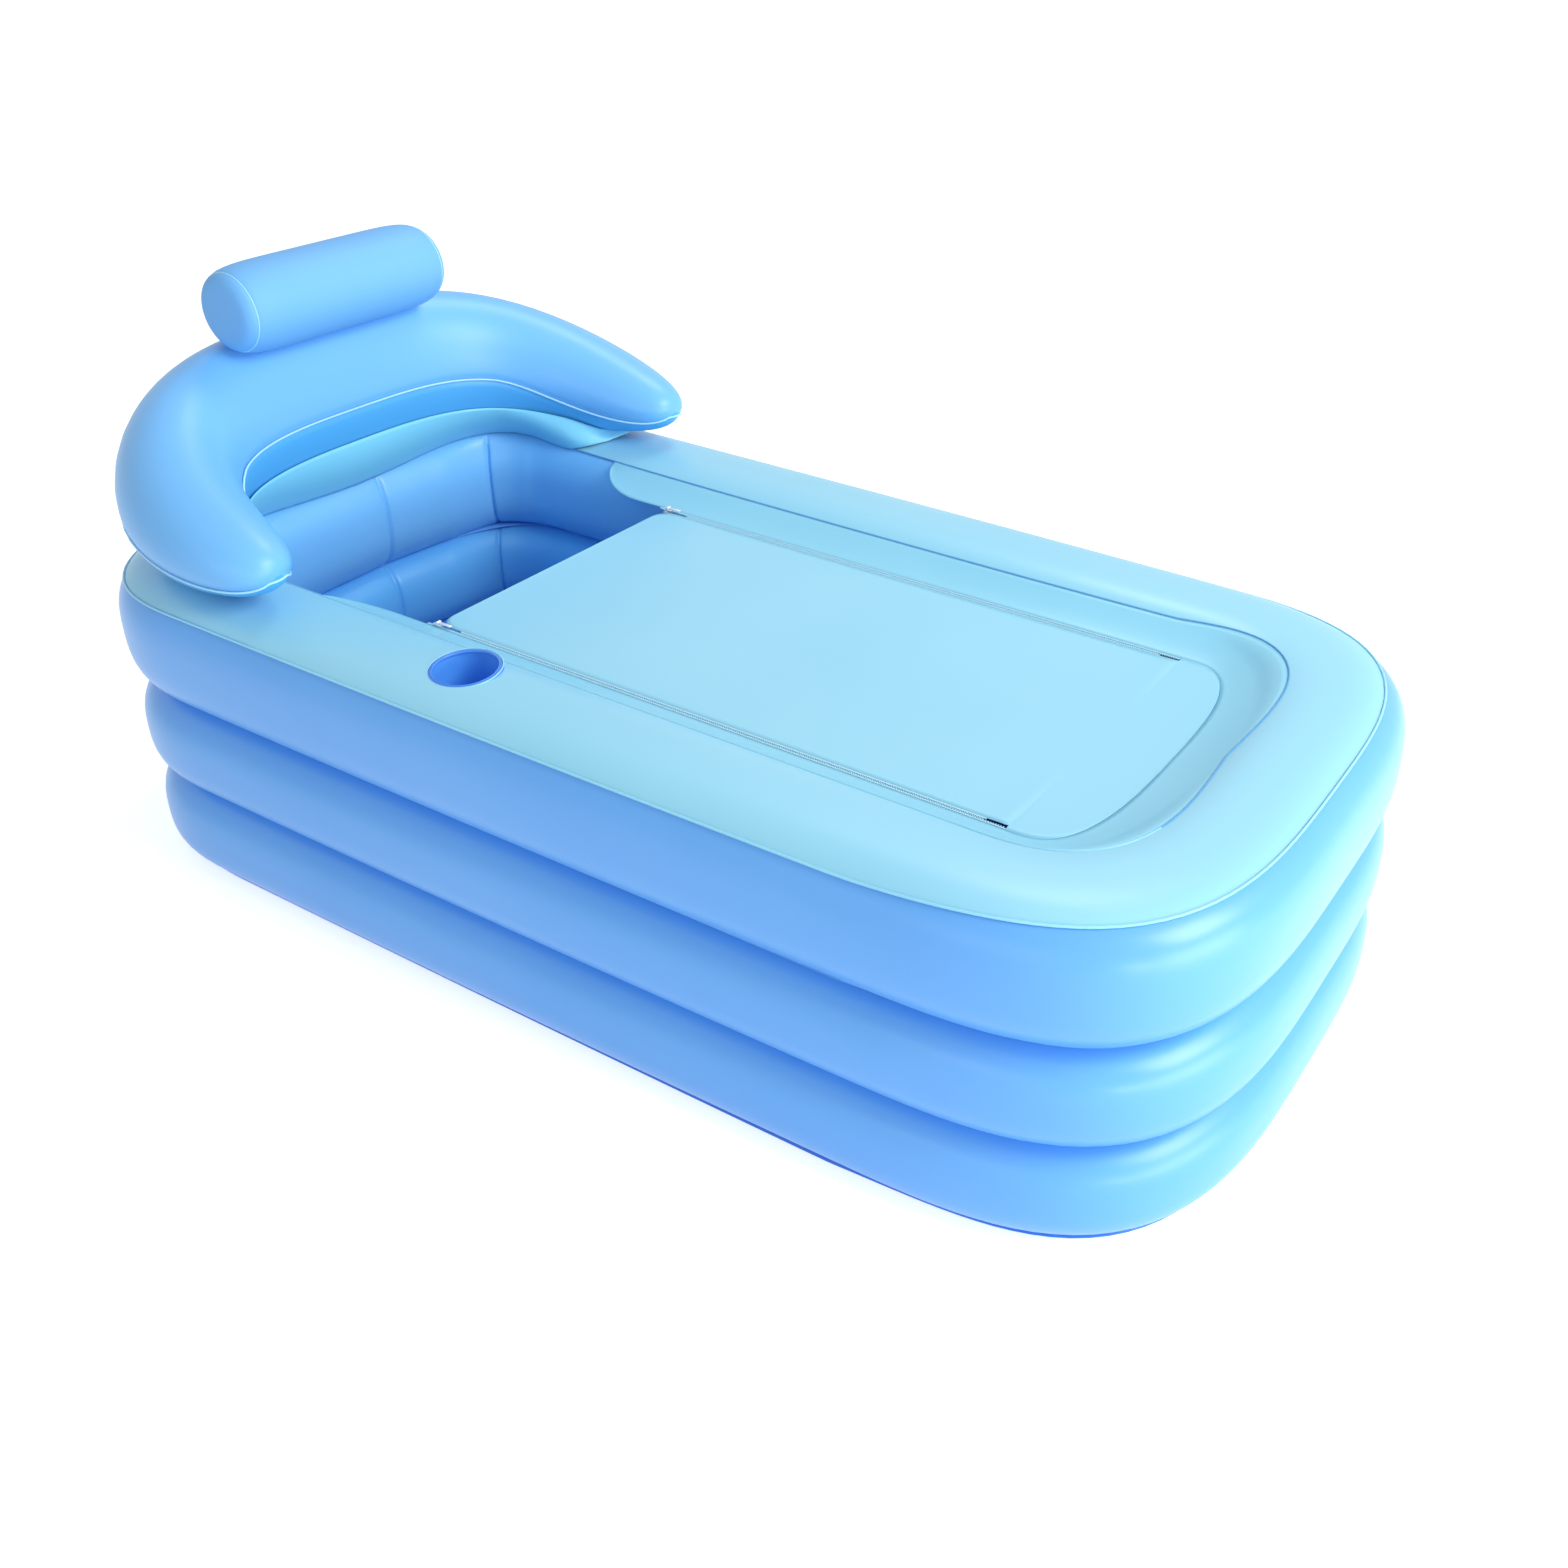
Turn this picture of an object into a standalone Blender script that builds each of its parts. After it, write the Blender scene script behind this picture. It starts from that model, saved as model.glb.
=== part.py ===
"""Inflatable adult bathtub with a zipped cover, a crescent backrest and a neck pillow.

Three welded air rings stand on a base sheet and carry a film cover. Metres, +Z up, +X towards
the foot, the backrest at -X. The frame's origin is under the middle of the whole tub.
Every shape is worked out from the named sizes below, and each sub-part is an object of its own.
"""
import math

import bmesh
import bpy
from mathutils import Matrix, Vector

# overall plan of the tub wall
BODY_LENGTH = 1.600
BODY_WIDTH = 0.840
HEAD_CAP = 0.265                    # length of the rounded head end, measured along X
FOOT_CAP = 0.413                    # length of the rounded foot end
SIDE_BOW = 0.0075                   # how far the long sides bow out at their middle
HEAD_ROUND_SHARE = 2.73             # exponent of the head end's superellipse
FOOT_ROUND_SHARE = 3.48

# inside of the rings
HEAD_WALL = 0.140                   # width of the air rings at the head end
FOOT_WALL = 0.178
SIDE_WALL = 0.170
INNER_HEAD_CAP = 0.100
INNER_FOOT_CAP = 0.140
INNER_ROUND_SHARE = 3.0

# air rings, bottom to top
LOWER_RING = 0.1220
MIDDLE_RING = 0.1240
UPPER_RING = 0.1570
SECTION_SHARE = 2.9                 # exponent of a ring's cross-section
FLAT_SHARE = 0.94                   # where a welded face cuts the section, of its half height
WELD_BAND = 0.0010                  # thickness of the welded web between two rings
WELD_INSET = 0.034                  # web edge to the outermost line of a ring
BASE_FILM = 0.0012
BASE_INSET = 0.024
SEAT = 0.0003                       # gap kept between pieces that touch

# rim cover: a film over the top of the upper ring
COVER_FILM = 0.0012
SEAM_ANGLE = math.radians(45)       # where its outer weld runs, round the ring's section
SEAM_LIFT = math.radians(14)        # how much higher the weld runs round the foot
SEAM_LIFT_SHARE = 2.6
INNER_ANGLE = math.radians(135)     # where its inner weld runs
INNER_HEAD_LIFT = math.radians(10)  # how much nearer the crest it runs at the head
INNER_FOOT_LIFT = math.radians(13)  # and round the foot corners
SEAM_BEAD = 0.0016                  # radius of the weld bead

# bath cover inside the rim: fixed strip, zips and the cover panel
STRIP_FILM = 0.0010
COVER_LEVEL = 0.3720                # height of the cover panel's mid-plane
STRIP_HEAD_REACH = 0.138            # fixed strip, headwards past the panel's free edge
STRIP_FILLET = 0.080                # length of the curve that draws the strip's head edge in
ZIP_INSET = 0.0320                  # zip line to the inside of the long walls
ZIP_GAP = 0.0016                    # between the two rows of one zip
ZIP_ROW = 0.0030                    # width of one row
ZIP_HEIGHT = 0.0024
PANEL_HEAD_SETBACK = 0.498          # straight free edge of the panel, from the head end
PANEL_FOOT_INSET = 0.0367           # film's foot edge to the inside of the foot wall
PANEL_CORNER = 0.024
PANEL_FOOT_CORNER = 0.085
ZIP_HEAD_REACH = 0.010              # rows on the strip, headwards past the panel's free edge
ZIP_PANEL_SETBACK = 0.040           # rows on the panel, footwards of its free edge
ZIP_FOOT_INSET = 0.0853             # foot end of the zips to the film's foot edge
ZIP_PANEL_STOP = 0.030              # rows on the panel end this much earlier
HINGE_GAP = 0.0009                  # film edge to the strip round the foot
FOLD_OFFSET = 0.0012                # fold line, footwards of the zips' ends
HINGE_OFFSET = 0.0003               # from the fold line to the edge on either side of it

# zip slider and its pull
SLIDER_SETBACK = 0.006              # closed slider, footwards of the panel's free edge
SLIDER_LENGTH = 0.0140
SLIDER_WIDTH = 0.0076
SLIDER_PLATE = 0.0014
SLIDER_CLEAR = 0.0004
NECK_LENGTH = 0.0050
NECK_WIDTH = 0.0010
LUG_THICK = 0.0010
LUG_HEIGHT = 0.0034
LUG_LENGTH = 0.0040
PIN_RADIUS = 0.0006
PIN_RISE = 0.0020                   # pin above the slider's top plate
PULL_LENGTH = 0.0200
PULL_WIDTH = 0.0042
PULL_THICK = 0.0014
PULL_CLEAR = 0.0003

# cup holder in the rim on the -Y side
CUP_SETBACK = 0.662                 # its middle from the head end
CUP_INSET = 0.101                   # and from the long side
CUP_HOLE = 0.0443                   # radius of the round cut in the rim
CUP_RADIUS = 0.0440
CUP_OPENING = 0.0388                # clear radius at the top ring
CUP_RING = 0.0032                   # height of the welded ring
CUP_DEPTH = 0.0950
CUP_WALL = 0.0012
CUP_BOTTOM_RADIUS = 0.0400
CUP_TILT = math.radians(6.0)        # the rim falls inwards here
CUP_SINK = 0.0045                   # ring centre below the rim's crest

# backrest: a crescent of air on the head end of the rim
BACK_TIP_SETBACK = 0.4087           # arm tips from the head end
BACK_REACH = 0.3208                 # from the arm tips back to the middle
BACK_INSET = 0.0705                 # arms' middle line from the long sides
BACK_ROUND_SHARE = 2.986
BACK_GROW_SHARE = 1.058
BACK_TIP_WIDTH = 0.0750             # half widths and half heights of the section
BACK_MID_WIDTH = 0.0690
BACK_TIP_HEIGHT = 0.0613
BACK_MID_HEIGHT = 0.1145
BACK_TIP_LENGTH = 0.3000            # over which the arms round off
BACK_TIP_SHARE = 2.5                # how blunt their tips are
BACK_SECTION_SHARE = 1.95
BACK_SEAM_IN = math.radians(181.8)
BACK_SEAM_OUT = math.radians(-9.6)
BACK_SINK = 0.0055                  # how much of its section the rim flattens
BACK_BEAD = 0.0016
GUSSET_RISE = 0.0600                # how high it climbs on the backrest's inner side, at the middle
GUSSET_SHARE = 2.4
GUSSET_END_RISE = 0.0300            # where it stops, towards the arm tips
GUSSET_GAP = 0.0022                 # to the backrest's skin
GUSSET_BASE = 0.0070                # height of its edge under the backrest
GUSSET_REACH = 0.0040               # its lower front edge, inwards of its top, at the middle
GUSSET_END_REACH = 0.0120           # and at its ends
GUSSET_BULGE = 0.0020

# neck pillow on top of the backrest
PILLOW_FORWARD = 0.0455             # its axis, footwards of the backrest's middle line
PILLOW_RADIUS = 0.0545
PILLOW_LENGTH = 0.3294
PILLOW_END_SHARE = 7.0              # how square its ends are
PILLOW_WELD_INSET = 0.0130          # end weld, from each end
PILLOW_BEAD = 0.0012

# air mattress on the floor
FLOOR_GAP = 0.0040
FLOOR_HEIGHT = 0.0420
FLOOR_DIP = 0.0200                  # height at the welded channels
FLOOR_CHANNELS = 6

# screw valves of the rings, on the head end
VALVE_FLANGE = 0.0170
VALVE_FLANGE_THICK = 0.0020
VALVE_NECK = 0.0100
VALVE_NECK_LENGTH = 0.0060
VALVE_BORE = 0.0060
CAP_RADIUS = 0.0130
CAP_LENGTH = 0.0075
CAP_WALL = 0.0016
CAP_CLEAR = 0.0004
CAP_RIBS = 12
CAP_RIB = 0.0007

# small stopper valves of the backrest, the pillow and the air mattress
STEM_FLANGE = 0.0110
STEM_FLANGE_THICK = 0.0012
STEM_RADIUS = 0.0050
STEM_LENGTH = 0.0060
STEM_BORE = 0.0030
PLUG_HEAD = 0.0062
PLUG_HEAD_THICK = 0.0022
PLUG_STEM_LENGTH = 0.0050
PLUG_CLEAR = 0.0004
FLOOR_VALVE_INSET = 0.060           # from the inside of the head wall
FLOOR_VALVE_SHARE = 1.5             # channel number that carries it, from the middle

# drain in the floor near the foot end
DRAIN_INSET = 0.222                 # its middle from the inside of the foot wall
DRAIN_FLANGE = 0.0330
DRAIN_ROOM = 0.0600                 # the middle channels stop this far headwards of the drain
DRAIN_SIDE = 0.0030                 # their neighbours' edge to the channel weld
DRAIN_CORNER = 0.0200
DRAIN_BORE = 0.0160
DRAIN_FLANGE_THICK = 0.0030
DRAIN_RIM = 0.0050
STOPPER_TAPER = 0.0010
STOPPER_LENGTH = 0.0050
STOPPER_HEAD = 0.0200
STOPPER_HEAD_THICK = 0.0030
STOPPER_RING = 0.0075
STOPPER_WIRE = 0.0012

# places that follow from these sizes
ZIP_LINE = BODY_WIDTH / 2 - SIDE_WALL - ZIP_INSET       # half distance between the two zips
PANEL_HEAD = -BODY_LENGTH / 2 + PANEL_HEAD_SETBACK
PANEL_FOOT = BODY_LENGTH / 2 - FOOT_WALL - PANEL_FOOT_INSET
ZIP_HEAD = PANEL_HEAD - ZIP_HEAD_REACH
ZIP_PANEL_HEAD = PANEL_HEAD + ZIP_PANEL_SETBACK
ZIP_FOOT = PANEL_FOOT - ZIP_FOOT_INSET
ZIP_PANEL_FOOT = ZIP_FOOT - ZIP_PANEL_STOP
FOLD_LINE = ZIP_FOOT + FOLD_OFFSET
STRIP_HEAD = PANEL_HEAD - STRIP_HEAD_REACH
STRIP_INSET = ZIP_GAP / 2 + ZIP_ROW + SEAT + STRIP_FILM / 3     # zip line to the strip's edge
SLIDER_REST = PANEL_HEAD + SLIDER_SETBACK
CUP_X = -BODY_LENGTH / 2 + CUP_SETBACK
CUP_Y = -BODY_WIDTH / 2 + CUP_INSET
BACK_TIP_X = -BODY_LENGTH / 2 + BACK_TIP_SETBACK
BACK_SPREAD = BODY_WIDTH / 2 - BACK_INSET
PILLOW_X = BACK_TIP_X - BACK_REACH + PILLOW_FORWARD
FLOOR_VALVE_X = -BODY_LENGTH / 2 + HEAD_WALL + FLOOR_VALVE_INSET
DRAIN_X = BODY_LENGTH / 2 - FOOT_WALL - DRAIN_INSET

# points round a loop, in counts
CAP_POINTS = 11
SIDE_POINTS = 6
SECTION_POINTS = 16
PILLOW_STEPS = 20
GUSSET_STEPS = 12
OVERRUN = 0.010                     # how far a cutter runs past what it cuts

BLUE = (0.30, 0.56, 0.92, 1.0)
PALE = (0.58, 0.86, 0.95, 1.0)
SKY = (0.42, 0.70, 0.97, 1.0)
DEEP = (0.10, 0.33, 0.80, 1.0)
WHITE = (0.90, 0.92, 0.94, 1.0)


def clear_scene():
    for ob in list(bpy.data.objects):
        bpy.data.objects.remove(ob, do_unlink=True)


def collection(name):
    col = bpy.data.collections.new(name)
    bpy.context.scene.collection.children.link(col)
    return col


def material(name, colour, roughness, metallic=0.0):
    mat = bpy.data.materials.new(name)
    mat.use_nodes = True
    bsdf = mat.node_tree.nodes["Principled BSDF"]
    bsdf.inputs["Base Color"].default_value = colour
    bsdf.inputs["Roughness"].default_value = roughness
    bsdf.inputs["Metallic"].default_value = metallic
    mat.diffuse_color = colour
    return mat


clear_scene()
PARTS = collection("inflatable_bathtub")
TOOLS = collection("cutters")
FILM_BLUE = dict(colour=BLUE, roughness=0.32)
FILM_PALE = dict(colour=PALE, roughness=0.34)
FILM_SKY = dict(colour=SKY, roughness=0.32)
FILM_DEEP = dict(colour=DEEP, roughness=0.35)
CLEAR_WHITE = dict(colour=WHITE, roughness=0.40)

# the head-end valves stand proud of the wall, so the tub sits that much off the middle of its box
FRAME = bpy.data.objects.new("tub_frame", None)
TOOLS.objects.link(FRAME)
FRAME.location.x = (SEAT + VALVE_FLANGE_THICK + SEAT + CAP_LENGTH) / 2


def keep(ob, look, smooth=True):
    """give an object its own material, put it in the tub's collection and hang it on the frame"""
    for col in list(ob.users_collection):
        col.objects.unlink(ob)
    PARTS.objects.link(ob)
    ob.data.materials.clear()
    ob.data.materials.append(material(ob.name + "_mat", **look))
    if smooth and ob.type == "MESH":
        ob.data.shade_smooth()
        ob.data.set_sharp_from_angle(angle=math.radians(50))
    if ob.parent is None:
        ob.parent = FRAME
    return ob


def mesh_object(name, bm):
    bmesh.ops.recalc_face_normals(bm, faces=bm.faces)
    mesh = bpy.data.meshes.new(name)
    bm.to_mesh(mesh)
    bm.free()
    ob = bpy.data.objects.new(name, mesh)
    bpy.context.scene.collection.objects.link(ob)
    return ob


def as_tool(ob):
    """a cutter stays out of the render and out of the tub"""
    for col in list(ob.users_collection):
        col.objects.unlink(ob)
    TOOLS.objects.link(ob)
    ob.hide_render = True
    ob.display_type = "WIRE"
    if ob.parent is None:
        ob.parent = FRAME
    return ob


def loft(name, loops, round_path=False, closed_section=True):
    """skin between loops of equal length; round_path joins the last loop to the first, and the
    ends of an open path are closed with one face each"""
    bm = bmesh.new()
    rings = [[bm.verts.new(p) for p in loop] for loop in loops]
    n = len(rings[0])
    pairs = list(zip(rings, rings[1:] + rings[:1])) if round_path else list(zip(rings, rings[1:]))
    for a, b in pairs:
        for i in range(n if closed_section else n - 1):
            j = (i + 1) % n
            bm.faces.new((a[i], a[j], b[j], b[i]))
    if not round_path and closed_section:
        bm.faces.new(rings[0])
        bm.faces.new(list(reversed(rings[-1])))
    return mesh_object(name, bm)


def turned(name, profile, steps, axis_matrix=None):
    """a profile of (radius, height) turned about Z with a Screw modifier; it is put in the order
    that runs down the outer side, so that the faces point out"""
    area = sum(a[0] * b[1] - b[0] * a[1] for a, b in zip(profile, profile[1:] + profile[:1]))
    if area > 0:
        profile = profile[::-1]
    mesh = bpy.data.meshes.new(name)
    verts = [(r, 0.0, z) for r, z in profile]
    mesh.from_pydata(verts, [(i, i + 1) for i in range(len(verts) - 1)], [])
    ob = bpy.data.objects.new(name, mesh)
    bpy.context.scene.collection.objects.link(ob)
    screw = ob.modifiers.new("turn", "SCREW")
    screw.steps = screw.render_steps = steps
    screw.use_merge_vertices = True
    screw.merge_threshold = 0.00005
    if axis_matrix is not None:
        ob.matrix_local = axis_matrix
    return ob


def plate(name, outlines, z_mid, thickness):
    """a flat sheet from closed outlines in XY; a second outline is a hole in the first"""
    curve = bpy.data.curves.new(name, "CURVE")
    curve.dimensions = "2D"
    curve.fill_mode = "BOTH"
    curve.extrude = thickness / 2
    for outline in outlines:
        spline = curve.splines.new("POLY")
        spline.points.add(len(outline) - 1)
        for point, (x, y) in zip(spline.points, outline):
            point.co = (x, y, 0.0, 1.0)
        spline.use_cyclic_u = True
    ob = bpy.data.objects.new(name, curve)
    bpy.context.scene.collection.objects.link(ob)
    ob.location.z = z_mid
    return ob


def bead(name, points, radius, closed, resolution=1):
    """a round weld bead along a line"""
    curve = bpy.data.curves.new(name, "CURVE")
    curve.dimensions = "3D"
    curve.bevel_depth = radius
    curve.bevel_resolution = resolution
    curve.use_fill_caps = not closed
    spline = curve.splines.new("POLY")
    spline.points.add(len(points) - 1)
    for point, co in zip(spline.points, points):
        point.co = (*co, 1.0)
    spline.use_cyclic_u = closed
    ob = bpy.data.objects.new(name, curve)
    bpy.context.scene.collection.objects.link(ob)
    return ob


def box(name, size, centre):
    bm = bmesh.new()
    bmesh.ops.create_cube(bm, size=1.0)
    bmesh.ops.scale(bm, vec=size, verts=bm.verts)
    bmesh.ops.translate(bm, vec=centre, verts=bm.verts)
    return mesh_object(name, bm)


def cut(ob, tool):
    mod = ob.modifiers.new("cut", "BOOLEAN")
    mod.operation = "DIFFERENCE"
    mod.object = tool
    mod.solver = "EXACT"
    return ob


def join(ob, tool):
    mod = ob.modifiers.new("join", "BOOLEAN")
    mod.operation = "UNION"
    mod.object = tool
    mod.solver = "EXACT"
    return ob


def power(value, exponent):
    """signed power, the base of every superellipse here"""
    return math.copysign(abs(value) ** exponent, value)


def quarter(cap, half_width, share):
    """a quarter of a superellipse from the nose to the side, as (along, across) and its angle"""
    fine = [math.pi / 2 * i / 400 for i in range(401)]
    pts = [(cap * power(math.cos(a), 2 / share), half_width * power(math.sin(a), 2 / share))
           for a in fine]
    run = [0.0]
    for p, q in zip(pts, pts[1:]):
        run.append(run[-1] + math.hypot(q[0] - p[0], q[1] - p[1]))
    angles = []
    for k in range(CAP_POINTS):
        want = run[-1] * k / (CAP_POINTS - 1)
        i = max(j for j in range(401) if run[j] <= want + 1e-12)
        angles.append(fine[i])
    angles[-1] = math.pi / 2
    return angles


FOOT_ANGLES = quarter(FOOT_CAP, BODY_WIDTH / 2, FOOT_ROUND_SHARE)
HEAD_ANGLES = quarter(HEAD_CAP, BODY_WIDTH / 2, HEAD_ROUND_SHARE)


def plan(x_head, x_foot, half_width, head_cap, head_share, foot_cap, foot_share, bow=0.0):
    """closed outline from the foot's nose round by +Y; every outline made here has the same number
    of points at matching places, so that two of them can be lofted together"""
    def cap(angle, length, share):
        return (length * power(math.cos(angle), 2 / share),
                half_width * power(math.sin(angle), 2 / share))
    foot = [cap(a, foot_cap, foot_share) for a in FOOT_ANGLES]
    head = [cap(a, head_cap, head_share) for a in HEAD_ANGLES]
    near_foot, near_head = x_foot - foot_cap, x_head + head_cap
    side = [near_foot + (near_head - near_foot) * k / (SIDE_POINTS + 1)
            for k in range(1, SIDE_POINTS + 1)]
    half = [(near_foot + x, y) for x, y in foot]
    half += [(x, half_width) for x in side]
    half += [(near_head - x, y) for x, y in reversed(head)]
    middle, length = (x_head + x_foot) / 2, x_foot - x_head
    half = [(x, y * (1 + bow / half_width * (math.cos(math.pi * (x - middle) / length) - 1)))
            for x, y in half]
    return half + [(x, -y) for x, y in reversed(half[1:-1])]


OUTER = plan(-BODY_LENGTH / 2, BODY_LENGTH / 2, BODY_WIDTH / 2, HEAD_CAP, HEAD_ROUND_SHARE,
             FOOT_CAP, FOOT_ROUND_SHARE, SIDE_BOW)
INNER = plan(-BODY_LENGTH / 2 + HEAD_WALL, BODY_LENGTH / 2 - FOOT_WALL, BODY_WIDTH / 2 - SIDE_WALL,
             INNER_HEAD_CAP, INNER_ROUND_SHARE, INNER_FOOT_CAP, INNER_ROUND_SHARE)
COUNT = len(OUTER)


def wall_point(i, along, height):
    """point of the wall at loop place i; along is measured from the wall's middle, outwards"""
    ox, oy = OUTER[i % COUNT]
    ix, iy = INNER[i % COUNT]
    mx, my = (ox + ix) / 2, (oy + iy) / 2
    half = math.hypot(ox - ix, oy - iy) / 2
    return (mx + (ox - mx) * along / half, my + (oy - my) * along / half, height)


def half_wall(i):
    ox, oy = OUTER[i % COUNT]
    ix, iy = INNER[i % COUNT]
    return math.hypot(ox - ix, oy - iy) / 2


def ring_levels(z_low, z_high, flat_low, flat_high):
    """centre height and half height of a ring's section between two levels"""
    low = FLAT_SHARE if flat_low else 1.0
    high = FLAT_SHARE if flat_high else 1.0
    half = (z_high - z_low) / (low + high)
    return z_low + low * half, half


def section(angle, half_width, half_height, offset=0.0):
    return ((half_width + offset) * power(math.cos(angle), 2 / SECTION_SHARE),
            (half_height + offset) * power(math.sin(angle), 2 / SECTION_SHARE))


def air_ring(name, z_low, z_high, flat_low, flat_high):
    centre, half = ring_levels(z_low, z_high, flat_low, flat_high)
    loops = []
    for i in range(COUNT):
        loop = []
        for k in range(SECTION_POINTS):
            along, up = section(2 * math.pi * k / SECTION_POINTS, half_wall(i), half)
            z = centre + up
            z = max(z, z_low) if flat_low else z
            z = min(z, z_high) if flat_high else z
            loop.append(wall_point(i, along, z))
        loops.append(loop)
    return loft(name, loops, round_path=True)


LOWER_Z = BASE_FILM + SEAT
MIDDLE_Z = LOWER_Z + LOWER_RING + WELD_BAND + 2 * SEAT
UPPER_Z = MIDDLE_Z + MIDDLE_RING + WELD_BAND + 2 * SEAT
RIM_Z = UPPER_Z + UPPER_RING                        # crest of the upper ring
RING_CENTRE, RING_HALF = ring_levels(UPPER_Z, RIM_Z, True, False)


def seam_angle(i):
    """the rim's outer weld climbs a little round the foot"""
    i = i % COUNT
    i = min(i, COUNT - i)
    last = CAP_POINTS - 1
    lift = math.cos(math.pi / 2 * (i / last) ** SEAM_LIFT_SHARE) ** 2 if i <= last else 0.0
    return SEAM_ANGLE + SEAM_LIFT * lift


def inner_angle(i):
    """the rim's inner weld runs nearer the crest round both ends"""
    i = i % COUNT
    i = min(i, COUNT - i)
    last = CAP_POINTS - 1
    head = COUNT // 2 - i
    if i <= last:
        return INNER_ANGLE - INNER_FOOT_LIFT * math.sin(math.pi * i / last) ** 2
    if head <= last:
        return INNER_ANGLE - INNER_HEAD_LIFT * math.cos(math.pi / 2 * (head / last) ** 2) ** 2
    return INNER_ANGLE


def rings():
    keep(air_ring("lower_ring", LOWER_Z, LOWER_Z + LOWER_RING, True, True), FILM_BLUE)
    keep(air_ring("middle_ring", MIDDLE_Z, MIDDLE_Z + MIDDLE_RING, True, True), FILM_BLUE)
    upper = air_ring("upper_ring", UPPER_Z, RIM_Z, True, False)
    cut(upper, CUP_CUTTER)
    keep(upper, FILM_BLUE)
    for name, z in (("weld_band_lower", MIDDLE_Z), ("weld_band_upper", UPPER_Z)):
        outside = [wall_point(i, half_wall(i) - WELD_INSET, 0.0)[:2] for i in range(COUNT)]
        inside = [wall_point(i, -half_wall(i) + WELD_INSET, 0.0)[:2] for i in range(COUNT)]
        keep(plate(name, (outside, inside), z - SEAT - WELD_BAND / 2, WELD_BAND), FILM_BLUE)


def base_sheet():
    outline = [wall_point(i, half_wall(i) - BASE_INSET, 0.0)[:2] for i in range(COUNT)]
    hole = circle(DRAIN_X, 0.0, DRAIN_BORE, 24)
    keep(plate("base_sheet", (outline, hole), BASE_FILM / 2, BASE_FILM), FILM_DEEP)


def circle(x, y, radius, count):
    return [(x + radius * math.cos(2 * math.pi * k / count),
             y + radius * math.sin(2 * math.pi * k / count)) for k in range(count)]


BACK_FLOOR = RIM_Z + 2 * SEAT + COVER_FILM


def cup_matrix():
    """frame of the cup holder: its Z axis leans with the rim, its origin is the ring's centre"""
    return (Matrix.Translation((CUP_X, CUP_Y, RIM_Z - CUP_SINK))
            @ Matrix.Rotation(-CUP_TILT, 4, "X"))


def cup_cutter():
    depth = CUP_DEPTH + SEAT
    bm = bmesh.new()
    bmesh.ops.create_cone(bm, cap_ends=True, segments=32, radius1=CUP_HOLE, radius2=CUP_HOLE,
                          depth=depth + 2 * OVERRUN)
    bmesh.ops.translate(bm, vec=(0, 0, OVERRUN - depth / 2 + OVERRUN - CUP_RING / 2), verts=bm.verts)
    bmesh.ops.translate(bm, vec=(0, 0, -OVERRUN + CUP_RING / 2), verts=bm.verts)
    ob = mesh_object("cup_cutter", bm)
    ob.matrix_local = cup_matrix()
    return as_tool(ob)


def cup_holder():
    half = CUP_RING / 2
    ring = turned("cup_ring", [
        (CUP_OPENING, half * 0), (CUP_OPENING + half, half), (CUP_RADIUS - half, half),
        (CUP_RADIUS, half * 0), (CUP_RADIUS - half, -half), (CUP_OPENING + half, -half),
        (CUP_OPENING, half * 0)], 32, cup_matrix())
    keep(ring, FILM_PALE)
    top = -half - SEAT
    pocket = turned("cup_pocket", [
        (0.0, -CUP_DEPTH + CUP_WALL), (CUP_BOTTOM_RADIUS - CUP_WALL, -CUP_DEPTH + CUP_WALL),
        (CUP_RADIUS - CUP_WALL, top), (CUP_RADIUS, top),
        (CUP_BOTTOM_RADIUS, -CUP_DEPTH), (0.0, -CUP_DEPTH)], 32, cup_matrix())
    keep(pocket, FILM_DEEP)


def rim_cover():
    """film over the upper ring, from the outer weld over the crest to the inner weld"""
    step = 2 * math.pi / SECTION_POINTS
    loops = []
    for i in range(COUNT):
        start, first = seam_angle(i), SEAM_ANGLE + step
        angles = [start, (start + first) / 2]
        angles += [first + step * k / 2 for k in range(round(2 * (INNER_ANGLE - first) / step) - 1)]
        angles += [(angles[-1] + inner_angle(i)) / 2, inner_angle(i)]
        inside = [section(a, half_wall(i), RING_HALF, SEAT) for a in angles]
        outside = [section(a, half_wall(i), RING_HALF, SEAT + COVER_FILM) for a in angles]
        loops.append([wall_point(i, u, RING_CENTRE + v) for u, v in outside + inside[::-1]])
    cover = loft("rim_cover", loops, round_path=True)
    cut(cover, CUP_CUTTER)
    keep(cover, FILM_PALE)
    line = []
    for i in range(COUNT):
        a = seam_angle(i)
        u, v = section(a, half_wall(i), RING_HALF, SEAT + SEAM_BEAD)
        du, dv = section(a - math.radians(1), half_wall(i), RING_HALF, SEAT + SEAM_BEAD)
        step = math.hypot(du - u, dv - v)
        back = (SEAM_BEAD + SEAT) / step
        line.append(wall_point(i, u + (du - u) * back, RING_CENTRE + v + (dv - v) * back))
    keep(bead("rim_seam", line, SEAM_BEAD, True), FILM_PALE)


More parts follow.
